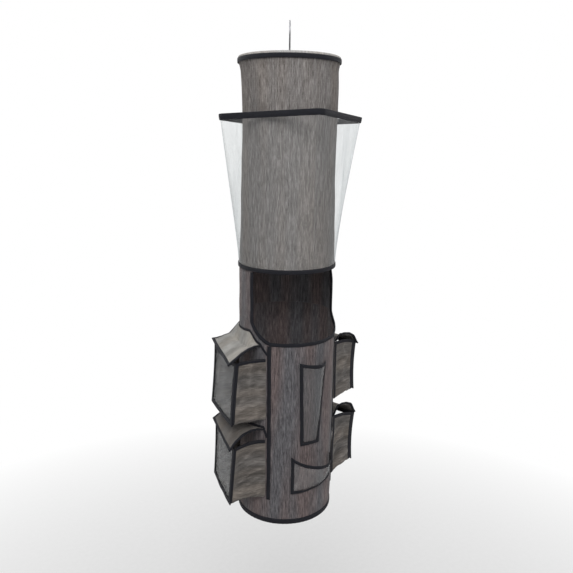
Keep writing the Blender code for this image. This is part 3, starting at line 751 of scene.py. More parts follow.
def add_stitches(verts, faces, face_uvs, stations, lengths, spot):
    depth, lift = spot
    number = int(lengths[-1] / STITCH_PITCH)
    segment = 0
    for n in range(number):
        place = lengths[-1] * (n + 0.5) / number
        while lengths[segment + 1] < place:
            segment += 1
        share = (place - lengths[segment]) / (lengths[segment + 1] - lengths[segment])
        first = stations[segment]
        last = stations[(segment + 1) % len(stations)]
        point, into, out = (blend_of(a, b, share) for a, b in zip(first, last))
        run = (last[0] - first[0]).normalized()
        up = out.normalized() * (1 if lift > 0 else -1)
        centre = point + into * depth + out * lift
        along = run * STITCH_HALF_LENGTH
        beside = run.cross(up).normalized() * STITCH_HALF_WIDTH
        base = len(verts)
        verts += [centre - along, centre - beside, centre + along, centre + beside,
                  centre + up * STITCH_RISE]
        faces += [(base + i, base + (i + 1) % 4, base + 4) for i in range(4)]
        faces.append((base + 3, base + 2, base + 1, base))
        face_uvs += [[(place, depth)] * 3] * 4 + [[(place, depth)] * 4]


# The points of a tape, whose width wanders a little
def tape_points(stations, section, lengths, closed, seed):
    points = []
    for (point, into, out), along in zip(stations, lengths):
        turn = 2 * pi * along / lengths[-1] if closed else along / TUBE_RADIUS
        wander = noise_at(WANDERS * cos(turn), WANDERS * sin(turn), seed) * TAPE_WIDTH_WANDER
        for depth, lift in section:
            shift = wander if depth > TAPE else 0.0
            points.append(point + into * (depth + shift) + out * lift)
    return points


# A tape along stations of (point, into, out), where into runs along the sheet
# that it holds and out is the sheet's outer side
def sweep(name, stations, section, seams, closed=False, seed=0):
    points = [station[0] for station in stations]
    lengths = running_lengths(points + points[:1] if closed else points)
    girth = running_lengths([Vector(spot) for spot in section + section[:1]])
    count = len(section)
    verts = tape_points(stations, section, lengths, closed, seed)
    cells = [(i, k) for i in range(len(lengths) - 1) for k in range(count)]
    faces, face_uvs = grid_faces(
        cells, lambda i, k: i % len(stations) * count + k % count, lengths, girth)
    if not closed:
        for first in (0, (len(stations) - 1) * count):
            faces.append([first + k for k in range(count)])
            face_uvs.append([(0.0, girth[k]) for k in range(count)])
    tape_faces = len(faces)
    for spot in seams:
        add_stitches(verts, faces, face_uvs, stations, lengths, spot)
    mesh = new_mesh(name, verts, faces, face_uvs, "tape", "thread")
    slots = [0] * tape_faces + [1] * (len(faces) - tape_faces)
    mesh.polygons.foreach_set("material_index", slots)
    tidy = bmesh.new()
    tidy.from_mesh(mesh)
    bmesh.ops.recalc_face_normals(tidy, faces=tidy.faces)
    tidy.to_mesh(mesh)
    tidy.free()
    mesh.shade_smooth()
    mesh.set_sharp_from_angle(angle=radians(SHARP_TAPE))
    return link(bpy.data.objects.new(name, mesh))


def folded_tape(name, stations, half_gap, width, closed=False, seed=0):
    return sweep(name, stations, folded_section(half_gap, width), folded_seams(half_gap, width),
                 closed, seed)


def flat_tape(name, stations, width, closed=False, seed=0):
    return sweep(name, stations, flat_section(width), flat_seams(width), closed, seed)


# The sheet's own directions at a spot of a surface: across, down and out
def surface_axes(surface, u, v, step=SURFACE_STEP):
    across = (surface(u + step, v) - surface(u - step, v)).normalized()
    down = (surface(u, v + step) - surface(u, v - step)).normalized()
    return across, down, down.cross(across).normalized()


# Stations on a surface at spots of (u, v, inward share across, inward share down)
def stations_on(surface, spots, lift=0.0):
    stations = []
    for u, v, inward_u, inward_v in spots:
        across, down, out = surface_axes(surface, u, v)
        into = across * inward_u + down * inward_v
        stations.append((surface(u, v) + out * lift, into, out))
    return stations


# A loop round a surface's four edges, with one station at each corner
def loop_spots(u_edge, v_first, v_last, corner_u, corner_v, u_steps, v_steps):
    across = spread(-u_edge + corner_u, u_edge - corner_u, u_steps)
    down = spread(v_first + corner_v, v_last - corner_v, v_steps)
    spots = [(-u_edge, v_first, 1, 1)]
    spots += [(u, v_first, 0, 1) for u in across]
    spots += [(u_edge, v_first, -1, 1)]
    spots += [(u_edge, v, -1, 0) for v in down]
    spots += [(u_edge, v_last, -1, -1)]
    spots += [(u, v_last, 0, -1) for u in reversed(across)]
    spots += [(-u_edge, v_last, 1, -1)]
    spots += [(-u_edge, v, 1, 0) for v in reversed(down)]
    return spots


def ring_stations(radius, z):
    return [(on_ring(a, radius, z), DOWN, on_ring(a, 1, 0)) for a in around(RING_STEPS)]


def tube_station(azimuth, z, into_around, into_up, lift):
    across, down, out = surface_axes(lambda a, h: tube_point(a, -h), azimuth, -z)
    return tube_point(azimuth, z, lift), across * into_around - down * into_up, out


# Stations on the tube along a path of azimuths and heights, with the sheet that
# the tape holds on the path's right hand
def path_stations(path, lift):
    stations = []
    for i, (azimuth, z) in enumerate(path):
        before, after = neighbours(path, i)
        run = Vector((radians(after[0] - before[0]) * TUBE_RADIUS, after[1] - before[1]))
        run.normalize()
        stations.append(tube_station(azimuth, z, run.y, -run.x, lift))
    return stations


# Top

COVER_SHOULDER = 0.0022
COVER_SHOULDER_POWER = 8
COVER_SHOULDER_WIDTH = 0.003
COVER_LIP = 0.0014
COVER_LIP_DROP = 0.0045
COVER_SLACK = 0.0006
COVER_DIP_WIDTH = 0.022
RIM_TAPE_DROP = 0.0030


def cover_height(radius):
    dome = DOME_RISE * (1 - (radius / TUBE_RADIUS) ** 2)
    return TOP_Z + dome + COVER_SHOULDER * (radius / TUBE_RADIUS) ** COVER_SHOULDER_POWER


# The cover's cloth from the eyelet out over the dome and down round the rim
def cover_profile():
    hole = WIRE_RADIUS + BORE_CLEARANCE + EYELET_WALL + GAP
    shoulder = TUBE_RADIUS - COVER_SHOULDER_WIDTH
    profile = [(radius, cover_height(radius)) for radius in spread(hole, shoulder, steps=22)]
    last_radius, last_z = profile[-1]
    lip = TUBE_RADIUS + COVER_LIP
    for turn in spread(0, pi / 2, steps=5)[1:]:
        profile.append((blend_of(last_radius, lip, sin(turn)),
                        blend_of(TOP_Z - COVER_LIP, last_z, cos(turn))))
    return profile + [(lip, TOP_Z - COVER_LIP_DROP)]


def make_top():
    rows = []
    for radius, z in cover_profile():
        slack = max(0.0, sin(pi * radius / TUBE_RADIUS)) * COVER_SLACK
        ring = [on_ring(azimuth, radius, 0) for azimuth in around(COVER_STEPS)]
        dips = [noise.noise(point / COVER_DIP_WIDTH) * slack for point in ring]
        rows.append([Vector((point.x, point.y, z + dip)) for point, dip in zip(ring, dips)])
    cover = hang_cloth("top_cover_cloth", "top_cover", rows, "cover", closed=True, planar=True)
    width = EDGE_WIDTH - RIM_TAPE_DROP
    section = [
        (0.0, 0.0), (0.0, TAPE - TAPE_EDGE), (TAPE_EDGE, TAPE), (width / 2, TAPE + TAPE_CROWN),
        (width - TAPE_EDGE, TAPE), (width, TAPE - TAPE_EDGE), (width, -COVER_LIP),
        (width - TAPE_EDGE, -COVER_LIP), (COVER_LIP_DROP - RIM_TAPE_DROP, 0.0),
    ]
    seams = [(width - STITCH_INSET, TAPE), (STITCH_INSET, TAPE)]
    stations = ring_stations(TUBE_RADIUS + COVER_LIP + GAP, TOP_Z - RIM_TAPE_DROP)
    binding = sweep("top_rim_tape", stations, section, seams, closed=True, seed=5)
    hang(binding, "black_binding", "top_binding")


# Tube and window

CORNER_CUT_SHARE = 0.65
CORNER_CUT_POWER = 1.3
SHOULDER_STEP = 0.006
SILL_TAPE_WIDTH = 0.0068
YOKE_TAPE_WIDTH = 0.0055
YOKE_TAPE_DROP = 0.026
YOKE_TAPE_RISE_SHARE = 0.7
YOKE_TAPE_REACH_SHARE = 0.97


def sill_height(azimuth):
    beyond = (abs(azimuth) - WINDOW_FLAT_AZIMUTH) / (WINDOW_SIDE_AZIMUTH - WINDOW_FLAT_AZIMUTH)
    beyond = clamp(beyond)
    round_corner = 1 - sqrt(1 - beyond ** 2)
    rise = blend_of(round_corner, beyond ** CORNER_CUT_POWER, CORNER_CUT_SHARE)
    return WINDOW_BOTTOM_Z + WINDOW_CORNER_HEIGHT * rise


def corner_azimuths(steps=10):
    reach = WINDOW_SIDE_AZIMUTH - WINDOW_FLAT_AZIMUTH
    return [WINDOW_FLAT_AZIMUTH + reach * sin(turn) for turn in spread(0, pi / 2, steps)]


def tube_rows(azimuths, tops, foot, steps):
    return [[tube_point(a, blend_of(top, foot, share)) for a, top in zip(azimuths, tops)]
            for share in spread(0, 1, steps)]


def make_tube():
    ring = around(RING_STEPS)
    height = SLEEVE_TOP_Z - SKIRT_BOTTOM_Z - GAP / 2
    rows = tube_rows(ring, [SLEEVE_TOP_Z] * len(ring), SKIRT_BOTTOM_Z + GAP / 2,
                     steps_over(height))
    upper = hang_cloth("upper_sleeve_cloth", "upper_sleeve", rows, "upper", closed=True)

    rear = spread(WINDOW_SIDE_AZIMUTH, 360 - WINDOW_SIDE_AZIMUTH, steps=84)
    foot = WINDOW_SHOULDER_Z + GAP
    rows = tube_rows(rear, [WINDOW_TOP_Z - GAP / 2] * len(rear), foot, steps=22)
    back = hang_cloth("back_panel_cloth", "back_panel", rows, "lower")

    flat = spread(-WINDOW_FLAT_AZIMUTH, WINDOW_FLAT_AZIMUTH, steps=40)
    corner = corner_azimuths()
    ring = [-a for a in reversed(corner[1:])] + flat + corner[1:]
    tops = [sill_height(a) for a in ring] + [WINDOW_SHOULDER_Z] * len(rear[1:-1])
    height = WINDOW_SHOULDER_Z - SLEEVE_BOTTOM_Z
    rows = tube_rows(ring + rear[1:-1], tops, SLEEVE_BOTTOM_Z, steps_over(height))
    lower = hang_cloth("lower_sleeve_cloth", "lower_sleeve", rows, "lower", closed=True)


def make_window_binding():
    head = WINDOW_TOP_Z - EDGE_WIDTH / 2 - GAP
    right = [(a, sill_height(a)) for a in corner_azimuths()]
    right += [(WINDOW_SIDE_AZIMUTH, z)
              for z in spread(WINDOW_SHOULDER_Z + SHOULDER_STEP, head, steps=14)]
    left = [(-a, z) for a, z in reversed(right)]
    flat = spread(-WINDOW_FLAT_AZIMUTH, WINDOW_FLAT_AZIMUTH, steps=36)
    path = left + [(a, WINDOW_BOTTOM_Z) for a in flat[1:-1]] + right
    stations = path_stations(path, -FABRIC / 2)
    binding = folded_tape("window_tape", stations, CLOTH_HALF_GAP, SILL_TAPE_WIDTH, seed=7)
    hang(binding, "black_binding", "window_binding")


def make_seam_tapes():
    root = degrees(asin((POCKET_ROOT_HALF + FABRIC) / TUBE_RADIUS))
    half = degrees(TAPE_WIDTH / 2 / TUBE_RADIUS)
    centre = POCKET_AZIMUTH - root - half - degrees(2 * WALL_GAP / TUBE_RADIUS)
    head = sill_height(centre - half) - SILL_TAPE_WIDTH - GAP
    heights = spread(head, BASE_Z + SEAM_FOOT_RISE, steps=68)
    for name, sign in (("left", -1), ("right", 1)):
        stations = [tube_station(sign * centre, z, 1, 0, GAP) for z in heights]
        tape = flat_tape("seam_tape_" + name, stations, TAPE_WIDTH, seed=9)
        hang(tape, "black_binding", "front_seam_tape_" + name)
        for spec in POCKETS:
            if spec.name.startswith(name):
                make_yoke_tape(spec, sign, centre + half)


# A tape on the tube along the wall seam of a lid's cloth, and from its front
# corner slanting down to the seam tape
def make_yoke_tape(spec, sign, seam_azimuth):
    path = []
    reach = sign * YOKE_TAPE_REACH_SHARE
    for share in spread(reach, -reach, steps=26):
        turn = degrees(asin(wall_reach(spec, share) / (TUBE_RADIUS + wall_lift(share))))
        z = spec.mouth + wall_height(spec, share) + YOKE_TAPE_WIDTH * YOKE_TAPE_RISE_SHARE
        path.append((spec.azimuth + turn, z))
    last_azimuth, last_z = path[-1]
    for share in spread(0, 1, steps=12)[1:]:
        azimuth = blend_of(last_azimuth, sign * seam_azimuth, share)
        path.append((azimuth, last_z - YOKE_TAPE_DROP * share))
    tape = flat_tape("pocket_" + spec.name + "_yoke_tape", path_stations(path, GAP),
                     YOKE_TAPE_WIDTH, seed=spec.seed)
    hang(tape, "black_binding")


# Base

BASE_RING_SHARES = (1.0, 0.985, 0.95, 0.88, 0.78, 0.66, 0.52, 0.38, 0.24, 0.10, 0.02)
BASE_SLACK = 0.0008
BASE_DIP_WIDTH = 0.03
BASE_TURN_IN = 0.0030
BASE_LIP = 0.0012


def make_base():
    rim = [tube_point(azimuth, SLEEVE_BOTTOM_Z) for azimuth in around(COVER_STEPS)]
    rows = []
    for share in BASE_RING_SHARES:
        ring = []
        for point in rim:
            place = Vector((point.x, point.y, 0)) * share
            slack = noise.noise(place / BASE_DIP_WIDTH) * BASE_SLACK * (1 - share)
            ring.append(Vector((point.x * share, point.y * share, BASE_Z + abs(slack))))
        rows.append(ring)
    cover = hang_cloth("base_cover_cloth", "base_cover", rows, "lower", closed=True, planar=True,
                       capped=True)
    section = [
        (0.0, -BASE_TURN_IN), (-TAPE_EDGE, TAPE_EDGE / 2 - BASE_TURN_IN), (-TAPE_EDGE, TAPE_EDGE),
        (BASE_LIP, TAPE), (EDGE_WIDTH / 2, TAPE + TAPE_CROWN), (EDGE_WIDTH - TAPE_EDGE, TAPE),
        (EDGE_WIDTH, TAPE - TAPE_EDGE), (EDGE_WIDTH, 0.0), (GAP, 0.0),
    ]
    stations = [tube_station(azimuth, BASE_Z, 0, 1, GAP) for azimuth in around(RING_STEPS)]
    binding = sweep("base_rim_tape", stations, section, [(EDGE_WIDTH - STITCH_INSET, TAPE)],
                    closed=True, seed=13)
    hang(binding, "black_binding", "base_binding")


# Clear skirt

SKIRT_WAVE = 0.0045
SKIRT_WAVE_FOLD = (0.055, 0.160)
SKIRT_CREASE = 0.0012
SKIRT_CREASE_FOLD = (0.030, 0.110)
SKIRT_HOLD_RATE = 1.15
SKIRT_HOLD_POWER = 0.8
SKIRT_CORNER_SLACK_SHARE = 0.1
SKIRT_CORNER_HOLD = 28
HEM_TAPE_WIDTH = 0.0095
WEB_SWAY = 0.005
WEB_SWAYS = 3


def skirt_outline(side_steps=26, corner_steps=8):
    radius = SKIRT_CORNER_RADIUS
    centre = Vector((SKIRT_HALF_SIDE - radius, SKIRT_HALF_SIDE - radius))
    local = [centre + Vector((radius * cos(a), radius * sin(a)))
             for a in spread(0, pi / 2, corner_steps)]
    along = spread(0, 2 * centre.x, side_steps)[1:-1]
    local += [local[-1] - Vector((step, 0)) for step in along]
    points = []
    for corner in range(4):
        turn = Matrix.Rotation(pi / 2 * corner - pi * 3 / 4 + radians(SKIRT_YAW), 2)
        points += [turn @ point for point in local]
    return points


def skirt_rise(point):
    front = on_ring(SKIRT_YAW, 1, 0)
    return SKIRT_TILT_RISE * (point.x * front.x + point.y * front.y) / SKIRT_HALF_DIAGONAL


def skirt_point(point, share, foot_radius):
    shift = on_ring(SKIRT_SHIFT_AZIMUTH, SKIRT_SHIFT, 0)
    head = Vector((point.x, point.y, SKIRT_TOP_Z + skirt_rise(point))) + shift
    foot = point.normalized() * foot_radius
    return head.lerp(Vector((foot.x, foot.y, FLARE_FOOT_Z)), share)


# Slow waves and creases of the film, which is held at its top wire and its foot
def skirt_wave(point, share):
    held = arc_of(share * SKIRT_HOLD_RATE) ** SKIRT_HOLD_POWER
    z = share * SKIRT_HEIGHT
    wave = fold_noise(point, z, SKIRT_WAVE_FOLD)
    crease = crisp(fold_noise(point, z, SKIRT_CREASE_FOLD, seed=9))
    from_corner = abs((degrees(atan2(point.x, -point.y)) - SKIRT_YAW + 45) % 90 - 45)
    slack = blend_of(SKIRT_CORNER_SLACK_SHARE, 1, ease(from_corner / SKIRT_CORNER_HOLD))
    return (SKIRT_WAVE * wave + SKIRT_CREASE * crease) * held * slack


def waved_skirt_point(point, share, foot_radius):
    out = Vector((point.x, point.y, 0)).normalized()
    return skirt_point(point, share, foot_radius) + out * skirt_wave(point, share)


def make_skirt():
    foot_radius = TUBE_RADIUS + WALL_GAP + VINYL
    outline = skirt_outline()
    half_gap = SKIRT_WIRE_RADIUS + GAP
    stations = []
    for i, outline_point in enumerate(outline):
        point = skirt_point(outline_point, 0, foot_radius)
        into = (skirt_point(outline_point, 1, foot_radius) - point).normalized()
        run = (outline[(i + 1) % len(outline)] - outline[i - 1]).normalized()
        stations.append((point - into * half_gap * 2, into, Vector((run.y, -run.x, 0))))
    top_tape = folded_tape("skirt_top_tape", stations, half_gap, SKIRT_BINDING_WIDTH, closed=True,
                           seed=17)
    hang(top_tape, "black_binding", "skirt_top_binding")
    rows = [[waved_skirt_point(point, share, foot_radius) for point in outline]
            for share in spread(0, 1, steps=56)]
    rows.append([point - Vector((0, 0, HEM_TAPE_WIDTH - GAP)) for point in rows[-1]])
    panel = hang_film("skirt_film", "skirt_panel", rows, "vinyl", closed=True)
    middle = HEM_TAPE_WIDTH / 2
    section = [(depth + middle, lift) for depth, lift in flat_section(HEM_TAPE_WIDTH)]
    seams = [(STITCH_INSET, TAPE), (HEM_TAPE_WIDTH - STITCH_INSET, TAPE)]
    stations = ring_stations(foot_radius + WALL_GAP, FLARE_FOOT_Z - GAP)
    hem = sweep("skirt_hem_tape", stations, section, seams, closed=True, seed=19)
    hang(hem, "black_binding", "skirt_bottom_binding")
    for name, corner in (("left", -1), ("back", 2), ("right", 1)):
        make_web("skirt_web_" + name, SKIRT_YAW + 90 * corner, foot_radius)


def make_web(name, azimuth, foot_radius):
    apex = on_ring(azimuth, SKIRT_HALF_DIAGONAL - SKIRT_CORNER_RADIUS * (sqrt(2) - 1), 0).xy
    clear = VINYL + 2 * GAP
    head_share = (SKIRT_BINDING_WIDTH + GAP) / SKIRT_HEIGHT
    foot_share = 1 - (WEB_FOOT_WIDTH + clear) / (apex.length - foot_radius)
    beside = on_ring(azimuth + 90, 1, 0)
    rows = []
    for share in spread(head_share, foot_share, steps=48):
        corner = waved_skirt_point(apex, share, foot_radius)
        wall = tube_point(azimuth, corner.z, WALL_GAP)
        tip = corner - (corner - wall).normalized() * clear
        row = []
        for across in spread(0, 1, steps=10):
            slack = sin(pi * across) * sin(pi * share)
            sway = noise_at(across, share * WEB_SWAYS, azimuth) * WEB_SWAY * slack
            row.append(wall.lerp(tip, across) + beside * sway)
        rows.append(row)
    web = hang_film(name + "_film", name, rows, "vinyl")


# Clear pockets on the lower front. The tilts lower the two ends of the mouth, the
# foot tilts the two ends of the foot.

FLAT_POCKET_TAPE = 0.0084
FLAT_POCKET_TAPE_LIFT = 0.0018
FLAT_POCKET_CELL = (0.003, 0.004)
CRINKLE = (0.016, 0.024)

FLAT_POCKETS = (
    Spec(name="scissors_pocket", azimuth=3.25, lean=-3,
         top=BASE_Z + LOWER_HEIGHT * SCISSORS_TOP_SHARE + 0.006, height=0.211,
         halves=(0.0394, 0.025), bulge=0.016, sag=0.002, tilts=(-0.002, 0.005),
         foot_tilts=(0, 0), film="smoky", crinkle=0.0010),
    Spec(name="tape_pocket", azimuth=7.8, lean=0,
         top=BASE_Z + LOWER_HEIGHT * TAPE_POCKET_TOP_SHARE + 0.001, height=0.090,
         halves=(0.0634, 0.0634), bulge=0.027, sag=0.012, tilts=(-0.006, 0.020),
         foot_tilts=(0.005, -0.006), film="crinkled", crinkle=0.0030),
)


def flat_pocket_point(spec, across, down):
    half = blend_of(*spec.halves, down)
    arch = max(0.0, 1 - across ** 2)
    swell = spec.bulge * arch * (1 - down ** 2 * (1 - FOOT_LIFT_SHARE) - down * FOOT_LIFT_SHARE)
    azimuth = spec.azimuth + spec.lean * down + degrees(half * across / TUBE_RADIUS)
    sag = spec.sag * arch * (1 - down)
    side = (across + 1) / 2
    tilt = blend_of(blend_of(*spec.tilts, side), blend_of(*spec.foot_tilts, side), down)
    z = spec.top - spec.height * down - sag - tilt
    loose = arch * arc_of(down) ** 0.5
    folds = crisp(wrinkle(half * across, spec.height * down, CRINKLE, spec.azimuth))
    return tube_point(azimuth, z, WALL_GAP + swell + folds * spec.crinkle * loose)


def make_flat_pocket(spec):
    surface = partial(flat_pocket_point, spec)
    half = sum(spec.halves) / 2
    across_cell, down_cell = FLAT_POCKET_CELL
    across_steps = steps_over(2 * half, across_cell)
    down_steps = steps_over(spec.height, down_cell)
    rows = [[surface(across, down) for across in spread(-1, 1, across_steps)]
            for down in spread(0, 1, down_steps)]
    film = hang_film(spec.name + "_film", spec.name, rows, spec.film)
    inset_u = FLAT_POCKET_TAPE / 2 / half
    inset_v = FLAT_POCKET_TAPE / 2 / spec.height
    spots = loop_spots(1 - inset_u, inset_v, 1 - inset_v, inset_u, inset_v,
                       across_steps, down_steps)
    stations = stations_on(surface, spots, lift=FLAT_POCKET_TAPE_LIFT - TAPE)
    tape = flat_tape(spec.name + "_tape", stations, FLAT_POCKET_TAPE, closed=True, seed=21)
    hang(tape, "black_binding", spec.name + "_binding")


# Box pockets. In a pocket's own frame x runs along the tube's side, -y points
# away from the tube, and z is zero at the mouth.

FACE_BULGE = 0.004
FACE_WAVE = 0.0016
FACE_WAVE_FOLD = (0.045, 0.060)
FACE_PINCH = 0.0025
FACE_EDGE_SHARE = 0.4
SAG_POWER = 1.5
LEAN_POWER = 1.3
MOUTH_DIP = 0.004
GUSSET_DEPTH = 0.075
GUSSET_CORNER_RADIUS = 0.008
GUSSET_TAPE_OVERHANG = 0.0016
GUSSET_STEPS = 26
SIDE_STEPS = 50
CORNER_STEPS = 6
BOTTOM_STEPS = 28
WRINKLE_DEPTH = 0.0042
WRINKLE = (0.017, 0.060)
FINE_DEPTH = 0.0013
FINE_WRINKLE = (0.006, 0.026)
CREST_DEPTH = 0.0030
CREST_WRINKLE = (0.026, 0.040)
CREST_LEVEL_SHARE = 0.35
CREST_SLANT_SHARE = 0.5
SLUMP_DEPTH = 0.0095
SLUMP_START_SHARE = 0.80
SLUMP_LEAN_SHARE = 0.14
SLUMP_RISE_SHARE = 0.10
SLUMP_END_SHARE = 0.90
SLUMP_FALL_SHARE = 0.09
# Share of painted highlight that the bag at the gusset's foot adds to the cloth's colour
SLUMP_HIGHLIGHT_SHARE = 0.35
LOOSE_RATE = 1.25
EDGE_CLEARANCE = 0.0004
MOUTH_TAPE_WIDTH = 0.007
MOUTH_TAPE_END_SHARE = 0.02
MOUTH_REACH = 0.028
MOUTH_RIPPLE_SHARE = 0.08
TAPE_HOLD = 0.011
HELD_SHARE = 0.75


def pocket_matrix(spec):
    turn = Matrix.Rotation(radians(spec.azimuth), 4, "Z")
    return Matrix.Translation((0, 0, spec.mouth)) @ turn


def pocket_way(spec, x, y, z):
    return pocket_matrix(spec).to_3x3() @ Vector((x, y, z))


def wall_point(spec, x, z, lift):
    turn = degrees(asin(x / (TUBE_RADIUS + lift)))
    return tube_point(spec.azimuth + turn, spec.mouth + z, lift)


def face_point(spec, u, v):
    tall = arc_of(v)
    half = POCKET_FACE_HALF - FACE_PINCH * tall
    height = POCKET_HEIGHT + FABRIC
    arch = 1 - u ** 2
    bulge = FACE_BULGE * arch * blend_of(FACE_EDGE_SHARE, 1, tall)
    wave = FACE_WAVE * wrinkle(u * half, v * height, FACE_WAVE_FOLD, spec.seed) * arch
    above = max(0.0, 1 - v)
    side = (u + 1) / 2
    sag = blend_of(*spec.sags, side) * above ** SAG_POWER + MOUTH_DIP * arch * above ** 2
    lean = blend_of(*spec.leans, side) * above ** LEAN_POWER
    kick = blend_of(*spec.kicks, side) * max(0.0, v) ** LEAN_POWER
    reach = POCKET_FACE_REACH + bulge + wave + lean + kick
    rise = blend_of(*spec.rises, clamp(v))
    return pocket_matrix(spec) @ Vector((half * u, -reach, rise - height * v - sag))


# The gusset's path from one mouth corner down, along the bottom and up: its spots
# have their place, the way out of the pocket and the length along the path
def gusset_path():
    half = POCKET_ROOT_HALF
    radius = GUSSET_CORNER_RADIUS
    height = POCKET_HEIGHT
    corner = [(radius * (1 - cos(turn)), radius * (1 - sin(turn)), cos(turn), sin(turn))
              for turn in spread(0, pi / 2, CORNER_STEPS)[1:-1]]
    path = [(-half, -z, Vector((-1, 0))) for z in spread(0, height - radius, SIDE_STEPS)]
    path += [(-half + x, -height + z, Vector((-a, -b))) for x, z, a, b in corner]
    bottom = spread(-half + radius, half - radius, BOTTOM_STEPS)
    path += [(x, -height, Vector((0, -1))) for x in bottom]
    path += [(half - x, -height + z, Vector((a, -b))) for x, z, a, b in reversed(corner)]
    path += [(half, -z, Vector((1, 0))) for z in spread(height - radius, 0, SIDE_STEPS)]
    lengths = running_lengths([Vector((x, z, 0)) for x, z, out in path])
    return [Spec(x=x, z=z, out=out, along=along) for (x, z, out), along in zip(path, lengths)]


# How far a gusset's cloth stands out of its flat place
def gusset_ripple(spec, along, reach):
    fold = wrinkle(along, reach, WRINKLE, spec.seed)
    fine = wrinkle(along, reach, FINE_WRINKLE, spec.seed + 5)
    slant = wrinkle(along + reach * CREST_SLANT_SHARE, reach, CREST_WRINKLE, spec.seed + 8)
    crest = max(0.0, crisp(slant)) ** 4 - CREST_LEVEL_SHARE
    return WRINKLE_DEPTH * fold + CREST_DEPTH * crest + FINE_DEPTH * fine


# The cloth sinks to the foot of the gusset, where it bags out
def gusset_slump(z, depth):
    v = -z / POCKET_HEIGHT
    start = SLUMP_START_SHARE - SLUMP_LEAN_SHARE * depth
    falling = 1 - ease((v - SLUMP_END_SHARE) / SLUMP_FALL_SHARE)
    return SLUMP_DEPTH * ease((v - start) / SLUMP_RISE_SHARE) * falling


# Painted shade in the gusset's wrinkle valleys, and painted highlight on its crests and on the
# bag at its foot
def gusset_painted_shade(spec, spot, depth):
    ripple = gusset_ripple(spec, spot.along, GUSSET_DEPTH * depth) / WRINKLE_DEPTH
    return crease_shade_of(ripple + SLUMP_HIGHLIGHT_SHARE * gusset_slump(spot.z, depth) / SLUMP_DEPTH)


def gusset_point(spec, spot, depth):
    out = spot.out
    v = -spot.z / POCKET_HEIGHT
    rise = blend_of(*spec.root_rises, clamp(v))
    root = wall_point(spec, spot.x, spot.z + rise, WALL_GAP)
    back = pocket_way(spec, 0, VINYL / 2 + TAPE + 2 * GAP + EDGE_CLEARANCE, 0)
    edge = face_point(spec, spot.x / POCKET_ROOT_HALF, v) + back
    point = root.lerp(edge, depth)
    middle = arc_of(depth)
    point.z += spec.hump * middle * max(0.0, 1 - v) ** 3
    width = (edge - root).length
    reach = width * depth
    loose = min(1.0, LOOSE_RATE * middle)
    loose *= ease((reach - HELD_SHARE * spec.root_width) / TAPE_HOLD)
    loose *= ease((width - reach - HELD_SHARE * spec.return_width) / TAPE_HOLD)
    bow = -spec.bow * (1 if abs(out.x) > 0.5 else 0.5)
    mouth = ease((-spot.z - HELD_SHARE * MOUTH_TAPE_WIDTH) / MOUTH_REACH)
    ripple = gusset_ripple(spec, spot.along, reach) * blend_of(MOUTH_RIPPLE_SHARE, 1, mouth)
    slump = gusset_slump(spot.z, depth) * abs(out.x)
    return point + pocket_way(spec, out.x, 0, out.y) * (bow * mouth + slump + ripple) * loose


def make_gusset(spec):
    path = gusset_path()
    depths = spread(0, 1, GUSSET_STEPS)
    rows = [[gusset_point(spec, spot, depth) for spot in path] for depth in depths]
    # The creases are painted shade and highlight for the gusset's colour
    creases = [gusset_painted_shade(spec, spot, depth) for depth in depths for spot in path]
    name = "pocket_" + spec.name + "_gusset"
    gusset = hang_cloth(name + "_cloth", name, rows, "gusset", creases=creases)
    tapes = [make_mouth_tape(spec, "first", path[0]), make_mouth_tape(spec, "last", path[-1])]
    centre = 1 - (spec.return_width / 2 - GUSSET_TAPE_OVERHANG) / GUSSET_DEPTH
    tapes.append(make_gusset_tape(spec, "gusset_tape", centre, spec.return_width, path))
    if spec.root_width:
        centre = (spec.root_width / 2 + GAP) / GUSSET_DEPTH
        tapes.append(make_gusset_tape(spec, "root_tape", centre, spec.root_width, path))
    widths = [(last - first).length for first, last in zip(rows[0], rows[-1])]


# A tape folded over the gusset's mouth, at one end of its path
def make_mouth_tape(spec, side, spot):
    sign = 1 if spot.x > 0 else -1
    aside = pocket_way(spec, sign, 0, 0)
    lower = Spec(x=spot.x, z=spot.z - SURFACE_STEP, out=spot.out, along=spot.along)
    end = MOUTH_TAPE_END_SHARE
    stations = []
    for depth in [end] + spread(0, 1, GUSSET_STEPS)[1:-1] + [1 - end]:
        here = gusset_point(spec, spot, depth)
        below = gusset_point(spec, lower, depth)
        ahead = gusset_point(spec, spot, depth + end / 2)
        down = (below - here).normalized()
        way = (ahead - here).cross(down).normalized() * sign
        way *= 1 if way.dot(aside) > 0 else -1
        stations.append((here - way * FABRIC / 2, down, way))
    tape = folded_tape("pocket_" + spec.name + "_mouth_tape_" + side, stations,
                       CLOTH_HALF_GAP, MOUTH_TAPE_WIDTH, seed=spec.seed)
    return hang(tape, "black_binding")


# A tape on the gusset's outer side, along its seam with the face or the tube
def make_gusset_tape(spec, end, centre, width, path):
    stations = []
    for spot in path[::2]:
        here = gusset_point(spec, spot, centre)
        into = (gusset_point(spec, spot, 1) - here).normalized()
        way = pocket_way(spec, spot.out.x, 0, spot.out.y).normalized()
        way = (way - into * way.dot(into)).normalized()
        stations.append((here + way * 2 * GAP, into, way))
    tape = flat_tape("pocket_" + spec.name + "_" + end, stations, width, seed=spec.seed + 4)
    return hang(tape, "black_binding")


